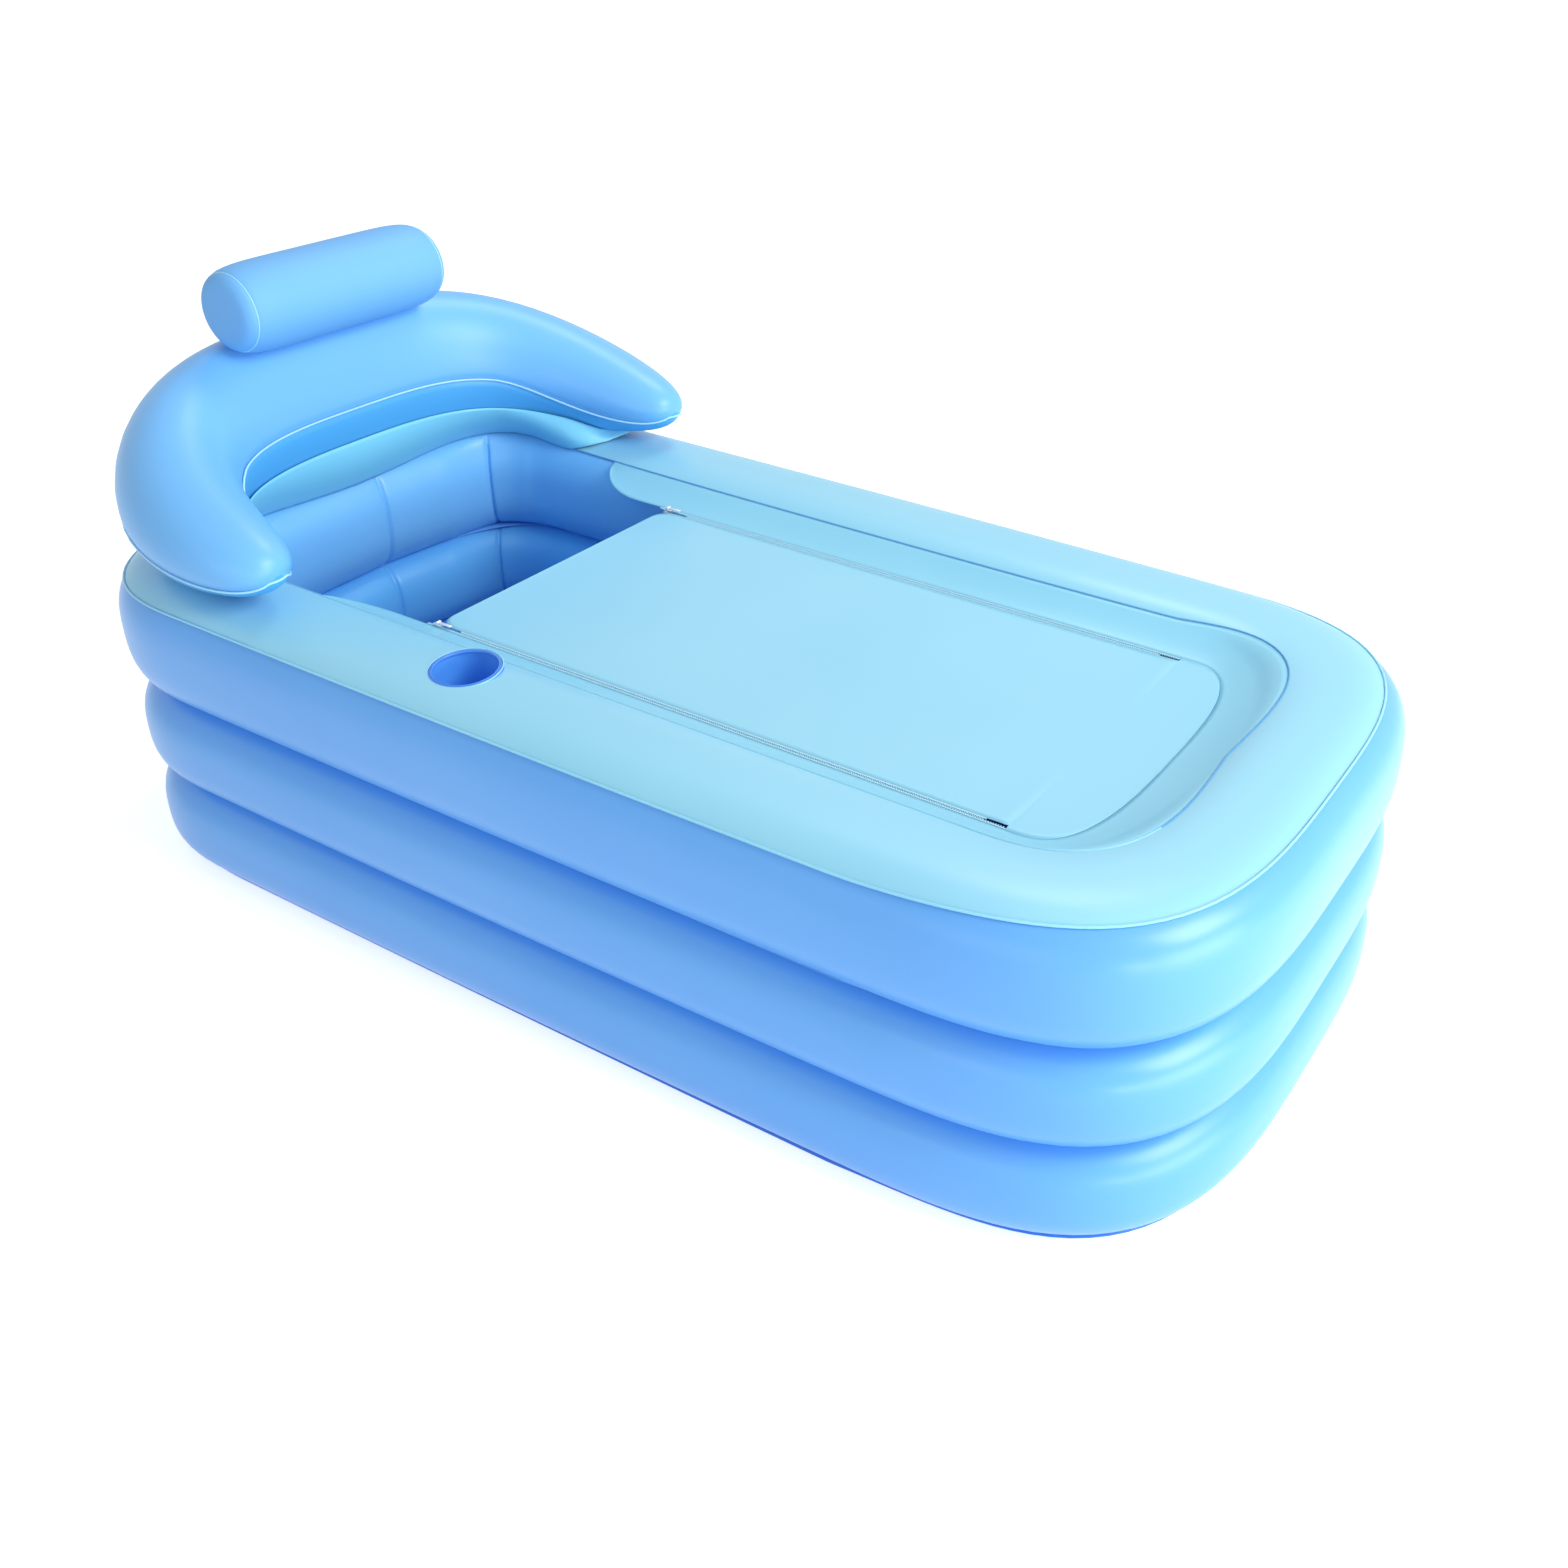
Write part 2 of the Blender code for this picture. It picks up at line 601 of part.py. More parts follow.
def strip_rows():
    """stations of the fixed strip from its +Y head end round the foot to its -Y head end"""
    outer = []
    for i in range(COUNT):
        u, v = section(inner_angle(i), half_wall(i), RING_HALF, SEAT + COVER_FILM / 2)
        outer.append(wall_point(i, u - 3 * SEAT - STRIP_FILM / 2, RING_CENTRE + v))
    foot = PANEL_FOOT + HINGE_GAP
    inner = plan(-BODY_LENGTH / 2, foot, ZIP_LINE + STRIP_INSET, INNER_HEAD_CAP,
                 INNER_ROUND_SHARE, PANEL_FOOT_CORNER, INNER_ROUND_SHARE)
    half = [(o, n) for o, n in zip(outer, inner) if o[1] >= 0]
    half = half[:half.index(next(p for p in half if p[0][0] < near_head_side()))]
    rows = [(o, (n[0], n[1], COVER_LEVEL)) for o, n in half]
    # straight part beside the zip: even stations down to the strip's head end
    o_last = rows[-1][0]
    count = 9
    for k in range(1, count + 1):
        x = o_last[0] + (STRIP_HEAD - o_last[0]) * k / count
        y_out, z_out = edge_at(outer, x)
        rows.append(((x, y_out, z_out), (x, ZIP_LINE + STRIP_INSET, COVER_LEVEL)))
    shaped = []
    start = STRIP_HEAD + STRIP_FILLET
    extra = []
    for k in range(1, 6):
        x = start + (STRIP_HEAD - start) * (k / 5) ** 0.7
        y_out, z_out = edge_at(outer, x)
        extra.append(((x, y_out, z_out), (x, ZIP_LINE + STRIP_INSET, COVER_LEVEL)))
    rows = [r for r in rows if r[0][0] > start] + extra
    for o, n in rows:
        if n[0] < start:
            draw = 1 - math.sqrt(max(0.0, 1 - ((start - n[0]) / (start - STRIP_HEAD)) ** 2))
            draw = min(draw, 0.94)
            n = (n[0], n[1] + (o[1] - n[1]) * draw, n[2] + (o[2] - n[2]) * draw)
        shaped.append((o, n))
    mirror = [((o[0], -o[1], o[2]), (n[0], -n[1], n[2])) for o, n in reversed(shaped[1:])]
    return [(o, n) for o, n in reversed(shaped)] + mirror[::-1]


def near_head_side():
    """X where the foot's rounded corner ends on the inside of the wall"""
    return BODY_LENGTH / 2 - FOOT_WALL - INNER_FOOT_CAP


def edge_at(line, x):
    """Y and Z of a +Y side line at an X between its points"""
    side = sorted((p for p in line if p[1] > 0), key=lambda p: p[0])
    for p, q in zip(side, side[1:]):
        if p[0] <= x <= q[0] and q[0] > p[0] and p[1] > ZIP_LINE:
            t = (x - p[0]) / (q[0] - p[0])
            return p[1] + (q[1] - p[1]) * t, p[2] + (q[2] - p[2]) * t
    return side[0][1], side[0][2]


def cover_strip():
    rows = strip_rows()
    bm = bmesh.new()
    grid = []
    for o, n in rows:
        o, n = Vector(o), Vector(n)
        grid.append([bm.verts.new(o.lerp(n, k / 2)) for k in range(3)])
    for a, b in zip(grid, grid[1:]):
        for k in range(2):
            bm.faces.new((a[k], a[k + 1], b[k + 1], b[k]))
    strip = mesh_object("cover_strip", bm)
    solid = strip.modifiers.new("film", "SOLIDIFY")
    solid.thickness = STRIP_FILM
    solid.offset = 0.0
    keep(strip, FILM_PALE)


def panel_outline():
    """the part of the cover that the zips free: rounded corners at its free edge, and straight
    where it folds between the foot ends of the zips"""
    narrow = ZIP_LINE - ZIP_GAP / 2 - ZIP_ROW - SEAT
    half = [(FOLD_LINE - HINGE_OFFSET, 0.0), (FOLD_LINE - HINGE_OFFSET, narrow)]
    half += [(PANEL_HEAD + PANEL_CORNER - PANEL_CORNER * math.sin(a),
              narrow - PANEL_CORNER + PANEL_CORNER * math.cos(a))
             for a in (math.pi / 2 * k / 6 for k in range(7))]
    return half + [(x, -y) for x, y in reversed(half[1:])]


def cover_panel():
    pivot = bpy.data.objects.new("cover_hinge", None)
    TOOLS.objects.link(pivot)
    pivot.parent = FRAME
    pivot.location = (FOLD_LINE, 0.0, COVER_LEVEL + STRIP_FILM / 2)
    panel = plate("cover_panel", (panel_outline(),), 0.0, STRIP_FILM)
    panel.parent = pivot
    panel.location = (-FOLD_LINE, 0.0, -STRIP_FILM / 2)
    keep(panel, FILM_PALE)
    return pivot


def cover_foot():
    """the rest of the film, from the fold to the strip: it stays when the panel is folded back"""
    corner = plan(-BODY_LENGTH / 2, PANEL_FOOT, ZIP_LINE + STRIP_INSET - HINGE_GAP, INNER_HEAD_CAP,
                  INNER_ROUND_SHARE, PANEL_FOOT_CORNER, INNER_ROUND_SHARE)
    edge = FOLD_LINE + HINGE_OFFSET
    half = [(x, y) for x, y in corner[:CAP_POINTS] if x > edge + HINGE_OFFSET]
    half.append((edge, half[-1][1]))
    outline = half + [(x, -y) for x, y in reversed(half[1:])]
    keep(plate("cover_foot", (outline,), COVER_LEVEL, STRIP_FILM), FILM_PALE)


def zips(pivot):
    for side, tag in ((-1, "near"), (1, "far")):
        out = ZIP_LINE + ZIP_GAP / 2 + ZIP_ROW / 2
        row = box("zip_row_" + tag + "_strip", (ZIP_FOOT - ZIP_HEAD, ZIP_ROW, ZIP_HEIGHT),
                  ((ZIP_FOOT + ZIP_HEAD) / 2, side * out, COVER_LEVEL))
        keep(row, CLEAR_WHITE, smooth=False)
        inn = ZIP_LINE - ZIP_GAP / 2 - ZIP_ROW / 2
        row = box("zip_row_" + tag + "_panel",
                  (ZIP_PANEL_FOOT - ZIP_PANEL_HEAD, ZIP_ROW, ZIP_HEIGHT),
                  ((ZIP_PANEL_FOOT + ZIP_PANEL_HEAD) / 2 - pivot.location.x, side * inn,
                   -STRIP_FILM / 2))
        row.parent = pivot
        keep(row, CLEAR_WHITE, smooth=False)
        slider(side, tag)


def slider(side, tag):
    """two plates joined by a neck between the rows, with two lugs and a pin for the pull"""
    space = ZIP_HEIGHT / 2 + SLIDER_CLEAR
    carrier = bpy.data.objects.new("slider_" + tag + "_carrier", None)
    TOOLS.objects.link(carrier)
    carrier.parent = FRAME
    carrier.location = (SLIDER_REST, side * ZIP_LINE, COVER_LEVEL)
    body = box("zip_slider_" + tag, (SLIDER_LENGTH, SLIDER_WIDTH, SLIDER_PLATE),
               (0, 0, space + SLIDER_PLATE / 2))
    body.parent = carrier
    lug_y = PULL_WIDTH / 2 + PULL_CLEAR + LUG_THICK / 2
    pieces = [
        box("slider_base_" + tag, (SLIDER_LENGTH, SLIDER_WIDTH, SLIDER_PLATE),
            (0, 0, -space - SLIDER_PLATE / 2)),
        box("slider_neck_" + tag, (NECK_LENGTH, NECK_WIDTH, 2 * space + SLIDER_PLATE),
            (-SLIDER_LENGTH / 2 + NECK_LENGTH / 2 + SLIDER_CLEAR, 0, 0)),
    ]
    for k in (-1, 1):
        pieces.append(box("slider_lug_%s_%d" % (tag, k),
                          (LUG_LENGTH, LUG_THICK, LUG_HEIGHT + SLIDER_PLATE / 2),
                          (0, k * lug_y, space + SLIDER_PLATE * 3 / 4 + LUG_HEIGHT / 2)))
    bm = bmesh.new()
    bmesh.ops.create_cone(bm, cap_ends=True, segments=12, radius1=PIN_RADIUS, radius2=PIN_RADIUS,
                          depth=2 * lug_y)
    bmesh.ops.rotate(bm, matrix=Matrix.Rotation(math.pi / 2, 3, "X"), verts=bm.verts)
    bmesh.ops.translate(bm, vec=(0, 0, space + SLIDER_PLATE + PIN_RISE), verts=bm.verts)
    pieces.append(mesh_object("slider_pin_" + tag, bm))
    for piece in pieces:
        piece.parent = carrier
        join(body, as_tool(piece))
    keep(body, CLEAR_WHITE, smooth=False)

    pivot = bpy.data.objects.new("pull_" + tag + "_pivot", None)
    TOOLS.objects.link(pivot)
    pivot.parent = carrier
    pivot.location = (0, 0, space + SLIDER_PLATE + PIN_RISE)
    eye = PIN_RADIUS + PULL_CLEAR
    flat = [(PULL_LENGTH - PULL_WIDTH / 2 + PULL_WIDTH / 2 * math.sin(a),
             PULL_WIDTH / 2 * math.cos(a)) for a in (math.pi * k / 8 for k in range(9))]
    outline = [(-0.0, PULL_WIDTH / 2)] + flat + [(-0.0, -PULL_WIDTH / 2)]
    pull = plate("zip_pull_" + tag, (outline,), 0.0, PULL_THICK)
    solid = bpy.data.meshes.new_from_object(pull.evaluated_get(bpy.context.evaluated_depsgraph_get()))
    bpy.data.objects.remove(pull, do_unlink=True)
    bm = bmesh.new()
    bm.from_mesh(solid)
    bmesh.ops.remove_doubles(bm, verts=bm.verts, dist=0.00002)
    pull = mesh_object("zip_pull_" + tag, bm)
    pull.parent = pivot
    knuckle = bmesh.new()
    bmesh.ops.create_cone(knuckle, cap_ends=True, segments=16, radius1=eye + PULL_THICK / 2,
                          radius2=eye + PULL_THICK / 2, depth=PULL_WIDTH)
    bmesh.ops.rotate(knuckle, matrix=Matrix.Rotation(math.pi / 2, 3, "X"), verts=knuckle.verts)
    knuckle = mesh_object("pull_knuckle_" + tag, knuckle)
    knuckle.parent = pivot
    join(pull, as_tool(knuckle))
    bore = bmesh.new()
    bmesh.ops.create_cone(bore, cap_ends=True, segments=16, radius1=eye, radius2=eye,
                          depth=PULL_WIDTH + 2 * OVERRUN)
    bmesh.ops.rotate(bore, matrix=Matrix.Rotation(math.pi / 2, 3, "X"), verts=bore.verts)
    bore = mesh_object("pull_bore_" + tag, bore)
    bore.parent = pivot
    cut(pull, as_tool(bore))
    keep(pull, CLEAR_WHITE, smooth=False)


def back_place(t):
    """centre line of the backrest in plan: t runs from 0 at the near arm's tip to 1 at the far"""
    s, c = math.sin(math.pi * t), math.cos(math.pi * t)
    return (BACK_TIP_X - BACK_REACH * abs(s) ** (2 / BACK_ROUND_SHARE),
            -BACK_SPREAD * power(c, 2 / BACK_ROUND_SHARE))


def back_runs():
    """(length from the tip, t) along half of the centre line"""
    steps = 400
    table, run, last = [(0.0, 0.0)], 0.0, back_place(0.0)
    for k in range(1, steps + 1):
        t = (k / steps) ** 2 / 2
        here = back_place(t)
        run += math.hypot(here[0] - last[0], here[1] - last[1])
        table.append((run, t))
        last = here
    return table


BACK_RUNS = back_runs()


def back_section(run):
    """centre, half width, half height, centre height and outward direction of the section that
    lies a length run from the near arm's tip"""
    half = BACK_RUNS[-1][0]
    short = min(run, 2 * half - run)
    k = next((i for i, (r, _) in enumerate(BACK_RUNS) if r > short), len(BACK_RUNS) - 1)
    (r0, t0), (r1, t1) = BACK_RUNS[k - 1], BACK_RUNS[k]
    t = min(t0 + (t1 - t0) * (short - r0) / (r1 - r0), t1)
    t = t if run <= half else 1 - t
    x, y = back_place(t)
    d = 1 / 2 ** 14
    a, b = back_place(max(t - d, 0.0)), back_place(min(t + d, 1.0))
    tx, ty = b[0] - a[0], b[1] - a[1]
    n = math.hypot(tx, ty)
    grow = abs(math.sin(math.pi * t)) ** BACK_GROW_SHARE
    width = BACK_TIP_WIDTH + (BACK_MID_WIDTH - BACK_TIP_WIDTH) * grow
    height = BACK_TIP_HEIGHT + (BACK_MID_HEIGHT - BACK_TIP_HEIGHT) * grow
    e = min(short / BACK_TIP_LENGTH, 1.0)
    nose = (1 - (1 - e) ** BACK_TIP_SHARE) ** (1 / BACK_TIP_SHARE)
    return x, y, width * nose, height * nose, BACK_FLOOR - BACK_SINK + height, (-ty / n, tx / n)


def back_point(run, angle):
    x, y, width, height, level, (nx, ny) = back_section(run)
    u = width * power(math.cos(angle), 2 / BACK_SECTION_SHARE)
    v = height * power(math.sin(angle), 2 / BACK_SECTION_SHARE)
    return Vector((x + u * nx, y + u * ny, max(level + v, BACK_FLOOR)))


def back_offset(run, angle, distance):
    """a point that far outside the backrest's skin"""
    step = math.radians(1)
    along = back_point(run + SEAT, angle) - back_point(run - SEAT, angle)
    around = back_point(run, angle + step) - back_point(run, angle - step)
    normal = along.cross(around).normalized()
    x, y, _, _, level, _ = back_section(run)
    point = back_point(run, angle)
    if normal.dot(point - Vector((x, y, level))) < 0:
        normal.negate()
    return point + normal * distance


def backrest():
    total = 2 * BACK_RUNS[-1][0]
    nose = [BACK_TIP_LENGTH * (1 - math.cos(math.radians(a))) for a in (5, 12, 20, 29, 39, 50, 62, 75)]
    middle = 20
    runs = nose + [BACK_TIP_LENGTH + (total - 2 * BACK_TIP_LENGTH) * k / middle
                   for k in range(middle + 1)] + [total - r for r in reversed(nose)]
    around = 16
    loops = [[back_point(r, 2 * math.pi * k / around) for k in range(around)]
             for r in runs]
    keep(loft("backrest", loops), FILM_SKY)
    # one weld runs round the whole crescent: outer side, over both tips, and the inner side
    away = 2 * SEAT + BACK_BEAD
    line = [back_offset(r, BACK_SEAM_OUT, away) for r in runs]
    line += [tip_point(runs[-1], a, away) for a in TIP_SHARES]
    line += [back_offset(r, BACK_SEAM_IN, away) for r in reversed(runs)]
    line += [tip_point(runs[0], a, away) for a in reversed(TIP_SHARES)]
    keep(bead("backrest_seam", line, BACK_BEAD, True), FILM_PALE)
    back_gusset(loops, runs)
    return loops


def at_height(line, z):
    """the point at a height on a line that runs down"""
    for a, b in zip(line, line[1:]):
        if b.z <= z:
            return a.lerp(b, (a.z - z) / (a.z - b.z))
    return line[-1]


def back_gusset(loops, runs):
    """film wedge, full of air, that closes the gap between the rim and the backrest's inner side"""
    total = 2 * BACK_RUNS[-1][0]
    quarter_turn = len(loops[0]) // 4
    rows = []
    for loop, run in zip(loops, runs):
        away = abs(2 * run / total - 1)
        rise = GUSSET_RISE * (1 - away ** GUSSET_SHARE)
        if rise < GUSSET_END_RISE:
            continue
        face = loop[2 * quarter_turn:3 * quarter_turn + 1]
        nx, ny = back_section(run)[5]
        inwards = Vector((-nx, -ny, 0.0))
        heights = [GUSSET_BASE + (rise - GUSSET_BASE) * k / GUSSET_STEPS
                   for k in range(GUSSET_STEPS + 1)]
        back = [at_height(face, BACK_FLOOR + h) + inwards * GUSSET_GAP for h in heights]
        top = back[-1]
        reach = GUSSET_REACH + (GUSSET_END_REACH - GUSSET_REACH) * away
        low = Vector((top.x, top.y, BACK_FLOOR)) + inwards * reach
        middle = top.lerp(low, 1 / 2) + inwards * GUSSET_BULGE
        corner = low + Vector((0.0, 0.0, GUSSET_BASE))
        heel = Vector((back[0].x, back[0].y, BACK_FLOOR))
        rows.append([heel] + back + [middle, corner, low - inwards * GUSSET_BASE])
    keep(loft("back_gusset", rows), FILM_PALE)


TIP_SHARES = (0.8, 0.0, -0.8)


def tip_point(run, share, away):
    """a point of the weld in front of an arm's tip face, at a share of its half width"""
    x, y, width, _, level, (nx, ny) = back_section(run)
    return Vector((x + away + width * share * nx * 0, y + width * share * ny, level))


def skin_points(loops):
    """points spread over the faces between the loops"""
    share = [k / 6 for k in range(6)]
    for a, b in zip(loops, loops[1:]):
        for i, p in enumerate(a):
            j = (i + 1) % len(a)
            for u in share:
                low, high = p.lerp(a[j], u), b[i].lerp(b[j], u)
                for v in share:
                    yield low.lerp(high, v)


def pillow_level(loops):
    """height of the pillow's axis at which its flats just rest on the backrest"""
    turn = math.pi / PILLOW_STEPS
    reach = PILLOW_RADIUS * math.cos(turn) + SEAT
    down = [turn * (2 * k + 1) for k in range(PILLOW_STEPS) if math.sin(turn * (2 * k + 1)) < 0]
    level = 0.0
    for p in skin_points(loops):
        dx = p.x - PILLOW_X
        if abs(p.y) < PILLOW_LENGTH / 2 and abs(dx) < reach:
            level = max(level, p.z - max((reach - dx * math.cos(a)) / math.sin(a) for a in down))
    return level


def pillow(loops):
    half = PILLOW_LENGTH / 2
    level = pillow_level(loops)
    matrix = Matrix.Translation((PILLOW_X, 0.0, level)) @ Matrix.Rotation(math.pi / 2, 4, "X")
    count = 12

    def radius(s):
        return PILLOW_RADIUS * max(1 - abs(s) ** PILLOW_END_SHARE, 0.0) ** (1 / PILLOW_END_SHARE)
    shares = [math.sin(math.pi / 2 * k / count) for k in range(-count, count + 1)]
    profile = [(radius(s), half * s) for s in shares]
    keep(turned("pillow", profile, PILLOW_STEPS, matrix), FILM_SKY)
    for side, tag in ((-1, "near"), (1, "far")):
        y = side * (half - PILLOW_WELD_INSET)
        r = radius(1 - PILLOW_WELD_INSET / half) + 2 * SEAT + PILLOW_BEAD
        ring = circle(PILLOW_X, level, r, PILLOW_STEPS)
        line = [(x, y, z) for x, z in ring]
        keep(bead("pillow_weld_" + tag, line, PILLOW_BEAD, True), FILM_SKY)
    return level


def air_mattress():
    """inflated floor: welded channels run lengthways inside the lower ring"""
    base = BASE_FILM + SEAT
    x_head, x_foot = -BODY_LENGTH / 2 + HEAD_WALL, BODY_LENGTH / 2 - FOOT_WALL
    half_width = BODY_WIDTH / 2 - SIDE_WALL - FLOOR_GAP
    pitch = 2 * half_width / FLOOR_CHANNELS
    per = 4
    total = FLOOR_CHANNELS * per
    loops = []
    for k in range(total + 1):
        y = -half_width + 2 * half_width * k / total
        swell = abs(math.sin(math.pi * (y + half_width) / pitch)) ** 0.6
        height = FLOOR_DIP + (FLOOR_HEIGHT - FLOOR_DIP) * swell
        edge = abs(y) / half_width
        draw = (max(1 - edge ** INNER_ROUND_SHARE, 0.0)) ** (1 / INNER_ROUND_SHARE)
        head = x_head + FLOOR_GAP + INNER_HEAD_CAP * (1 - draw)
        foot = x_foot - FLOOR_GAP - INNER_FOOT_CAP * (1 - draw)
        if k in (0, total):
            height = FLOOR_DIP
        r = height / 3
        loops.append([
            (head + r, y, base), (foot - r, y, base), (foot, y, base + r), (foot, y, base + height - r),
            (foot - r, y, base + height), (head + r, y, base + height),
            (head, y, base + height - r), (head, y, base + r)])
    floor = loft("air_mattress", loops)
    # the two middle channels are shorter and leave the drain free
    start, side, beyond = DRAIN_X - DRAIN_ROOM, pitch - DRAIN_SIDE, x_foot + OVERRUN
    corner = [(start + DRAIN_CORNER * (1 - math.sin(a)), side - DRAIN_CORNER * (1 - math.cos(a)))
              for a in (math.pi / 2 * k / 6 for k in range(7))]
    outline = [(beyond, side)] + corner
    outline += [(x, -y) for x, y in reversed(outline)]
    notch = loft("drain_notch", [[(x, y, z) for x, y in outline]
                                 for z in (base - OVERRUN, base + FLOOR_HEIGHT + OVERRUN)])
    cut(floor, as_tool(notch))
    keep(floor, FILM_DEEP)


def screw_valve(tag, matrix):
    """flange and threaded neck with a bore, and a ribbed screw cap over it"""
    base = SEAT
    body = turned("valve_body_" + tag, [
        (VALVE_BORE, base + VALVE_FLANGE_THICK + VALVE_NECK_LENGTH),
        (VALVE_NECK, base + VALVE_FLANGE_THICK + VALVE_NECK_LENGTH),
        (VALVE_NECK, base + VALVE_FLANGE_THICK),
        (VALVE_FLANGE, base + VALVE_FLANGE_THICK), (VALVE_FLANGE, base), (VALVE_BORE, base),
        (VALVE_BORE, base + VALVE_FLANGE_THICK + VALVE_NECK_LENGTH)], 20, matrix)
    keep(body, CLEAR_WHITE)
    bottom = base + VALVE_FLANGE_THICK + SEAT
    top = bottom + CAP_LENGTH
    inner = VALVE_NECK + CAP_CLEAR
    bm = bmesh.new()
    count = CAP_RIBS * 2

    def rib(k):
        return CAP_RADIUS - (CAP_RIB if k % 2 else 0.0)
    rings_ = []
    for z in (bottom, top):
        rings_.append([bm.verts.new((rib(k) * math.cos(2 * math.pi * k / count),
                                     rib(k) * math.sin(2 * math.pi * k / count), z))
                       for k in range(count)])
    for k in range(count):
        j = (k + 1) % count
        bm.faces.new((rings_[0][k], rings_[0][j], rings_[1][j], rings_[1][k]))
    bm.faces.new(list(reversed(rings_[0])))
    bm.faces.new(rings_[1])
    cap = mesh_object("valve_cap_" + tag, bm)
    bm = bmesh.new()
    depth = VALVE_NECK_LENGTH + CAP_CLEAR - SEAT
    bmesh.ops.create_cone(bm, cap_ends=True, segments=24, radius1=inner, radius2=inner,
                          depth=depth + OVERRUN)
    bmesh.ops.translate(bm, vec=(0, 0, bottom + depth / 2 - OVERRUN / 2), verts=bm.verts)
    hollow = mesh_object("valve_cap_hollow_" + tag, bm)
    for ob in (cap, hollow):
        ob.matrix_local = matrix
    cut(cap, as_tool(hollow))
    keep(cap, CLEAR_WHITE)


def stopper_valve(tag, matrix):
    """small flanged stem with a bore, and a push-in plug"""
    base = SEAT
    top = base + STEM_FLANGE_THICK + STEM_LENGTH
    body = turned("stem_" + tag, [
        (STEM_BORE, top), (STEM_RADIUS, top), (STEM_RADIUS, base + STEM_FLANGE_THICK),
        (STEM_FLANGE, base + STEM_FLANGE_THICK), (STEM_FLANGE, base), (STEM_BORE, base),
        (STEM_BORE, top)], 16, matrix)
    keep(body, CLEAR_WHITE)
    plug = turned("plug_" + tag, [
        (0.0, top + SEAT + PLUG_HEAD_THICK), (PLUG_HEAD, top + SEAT + PLUG_HEAD_THICK),
        (PLUG_HEAD, top + SEAT), (STEM_BORE - PLUG_CLEAR, top + SEAT),
        (STEM_BORE - PLUG_CLEAR, top + SEAT - PLUG_STEM_LENGTH),
        (0.0, top + SEAT - PLUG_STEM_LENGTH)], 16, matrix)
    keep(plug, CLEAR_WHITE)


def valves(pillow_z):
    back = Matrix.Rotation(-math.pi / 2, 4, "Y")          # a valve's Z axis points to -X
    for tag, low, high in (("lower", LOWER_Z, LOWER_RING), ("middle", MIDDLE_Z, MIDDLE_RING)):
        z = low + high / 2
        screw_valve(tag, Matrix.Translation((-BODY_LENGTH / 2, 0.0, z)) @ back)
    screw_valve("upper", Matrix.Translation((-BODY_LENGTH / 2, 0.0, RING_CENTRE)) @ back)
    x, _, z = back_point(BACK_RUNS[-1][0], 0.0)
    stopper_valve("backrest", Matrix.Translation((x, 0.0, z)) @ back)
    stopper_valve("pillow", Matrix.Translation((PILLOW_X - PILLOW_RADIUS, 0.0, pillow_z)) @ back)
    half_width = BODY_WIDTH / 2 - SIDE_WALL - FLOOR_GAP
    pitch = 2 * half_width / FLOOR_CHANNELS
    stopper_valve("mattress", Matrix.Translation(
        (FLOOR_VALVE_X, pitch * FLOOR_VALVE_SHARE, BASE_FILM + SEAT + FLOOR_HEIGHT)))


def drain():
    """flanged drain on the base sheet in a well of the air mattress, with a pull-out stopper"""
    base = BASE_FILM + SEAT
    matrix = Matrix.Translation((DRAIN_X, 0.0, base))
    fitting = turned("drain_fitting", [
        (DRAIN_BORE, DRAIN_FLANGE_THICK + DRAIN_RIM),
        (DRAIN_BORE + DRAIN_RIM, DRAIN_FLANGE_THICK + DRAIN_RIM),
        (DRAIN_BORE + DRAIN_RIM, DRAIN_FLANGE_THICK), (DRAIN_FLANGE, DRAIN_FLANGE_THICK),
        (DRAIN_FLANGE, 0.0), (DRAIN_BORE, 0.0),
        (DRAIN_BORE, DRAIN_FLANGE_THICK + DRAIN_RIM)], 24, matrix)
    keep(fitting, CLEAR_WHITE)
    top = DRAIN_FLANGE_THICK + DRAIN_RIM + SEAT
    stem = DRAIN_BORE - SEAT
    stopper = turned("drain_stopper", [
        (0.0, top + STOPPER_HEAD_THICK), (STOPPER_HEAD, top + STOPPER_HEAD_THICK),
        (STOPPER_HEAD, top), (stem, top), (stem - STOPPER_TAPER, top - STOPPER_LENGTH),
        (0.0, top - STOPPER_LENGTH)], 24, matrix)
    handle = bead("stopper_handle", [
        (STOPPER_RING * math.cos(a), 0.0, STOPPER_RING * math.sin(a))
        for a in (math.pi * k / 10 for k in range(11))], STOPPER_WIRE, False)
    solid = bpy.data.meshes.new_from_object(
        handle.evaluated_get(bpy.context.evaluated_depsgraph_get()))
    bpy.data.objects.remove(handle, do_unlink=True)
    bm = bmesh.new()
    bm.from_mesh(solid)
    bmesh.ops.remove_doubles(bm, verts=bm.verts, dist=0.00002)
    bmesh.ops.translate(bm, vec=(0, 0, top + STOPPER_HEAD_THICK - STOPPER_WIRE / 2), verts=bm.verts)
    handle = mesh_object("stopper_handle", bm)
    handle.matrix_local = matrix
    join(stopper, as_tool(handle))
    keep(stopper, FILM_SKY)


CUP_CUTTER = cup_cutter()
base_sheet()
rings()
rim_cover()
cup_holder()
cover_strip()
hinge = cover_panel()
cover_foot()
zips(hinge)
crescent = backrest()
air_mattress()
valves(pillow(crescent))
drain()
bpy.context.view_layer.update()
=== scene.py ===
# %% [markdown]
# # An inflatable bathtub, dressed for its portrait
# The tub is made of thin PVC film. Three air rings are welded on top of each other, a pale film covers
# the rim, a panel with two zips keeps the heat in, and a crescent backrest with a neck pillow is welded
# to the head end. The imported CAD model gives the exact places. This lesson gives each piece its full
# curves and its finish. All lengths are in metres.

# %% Load the frame
import math

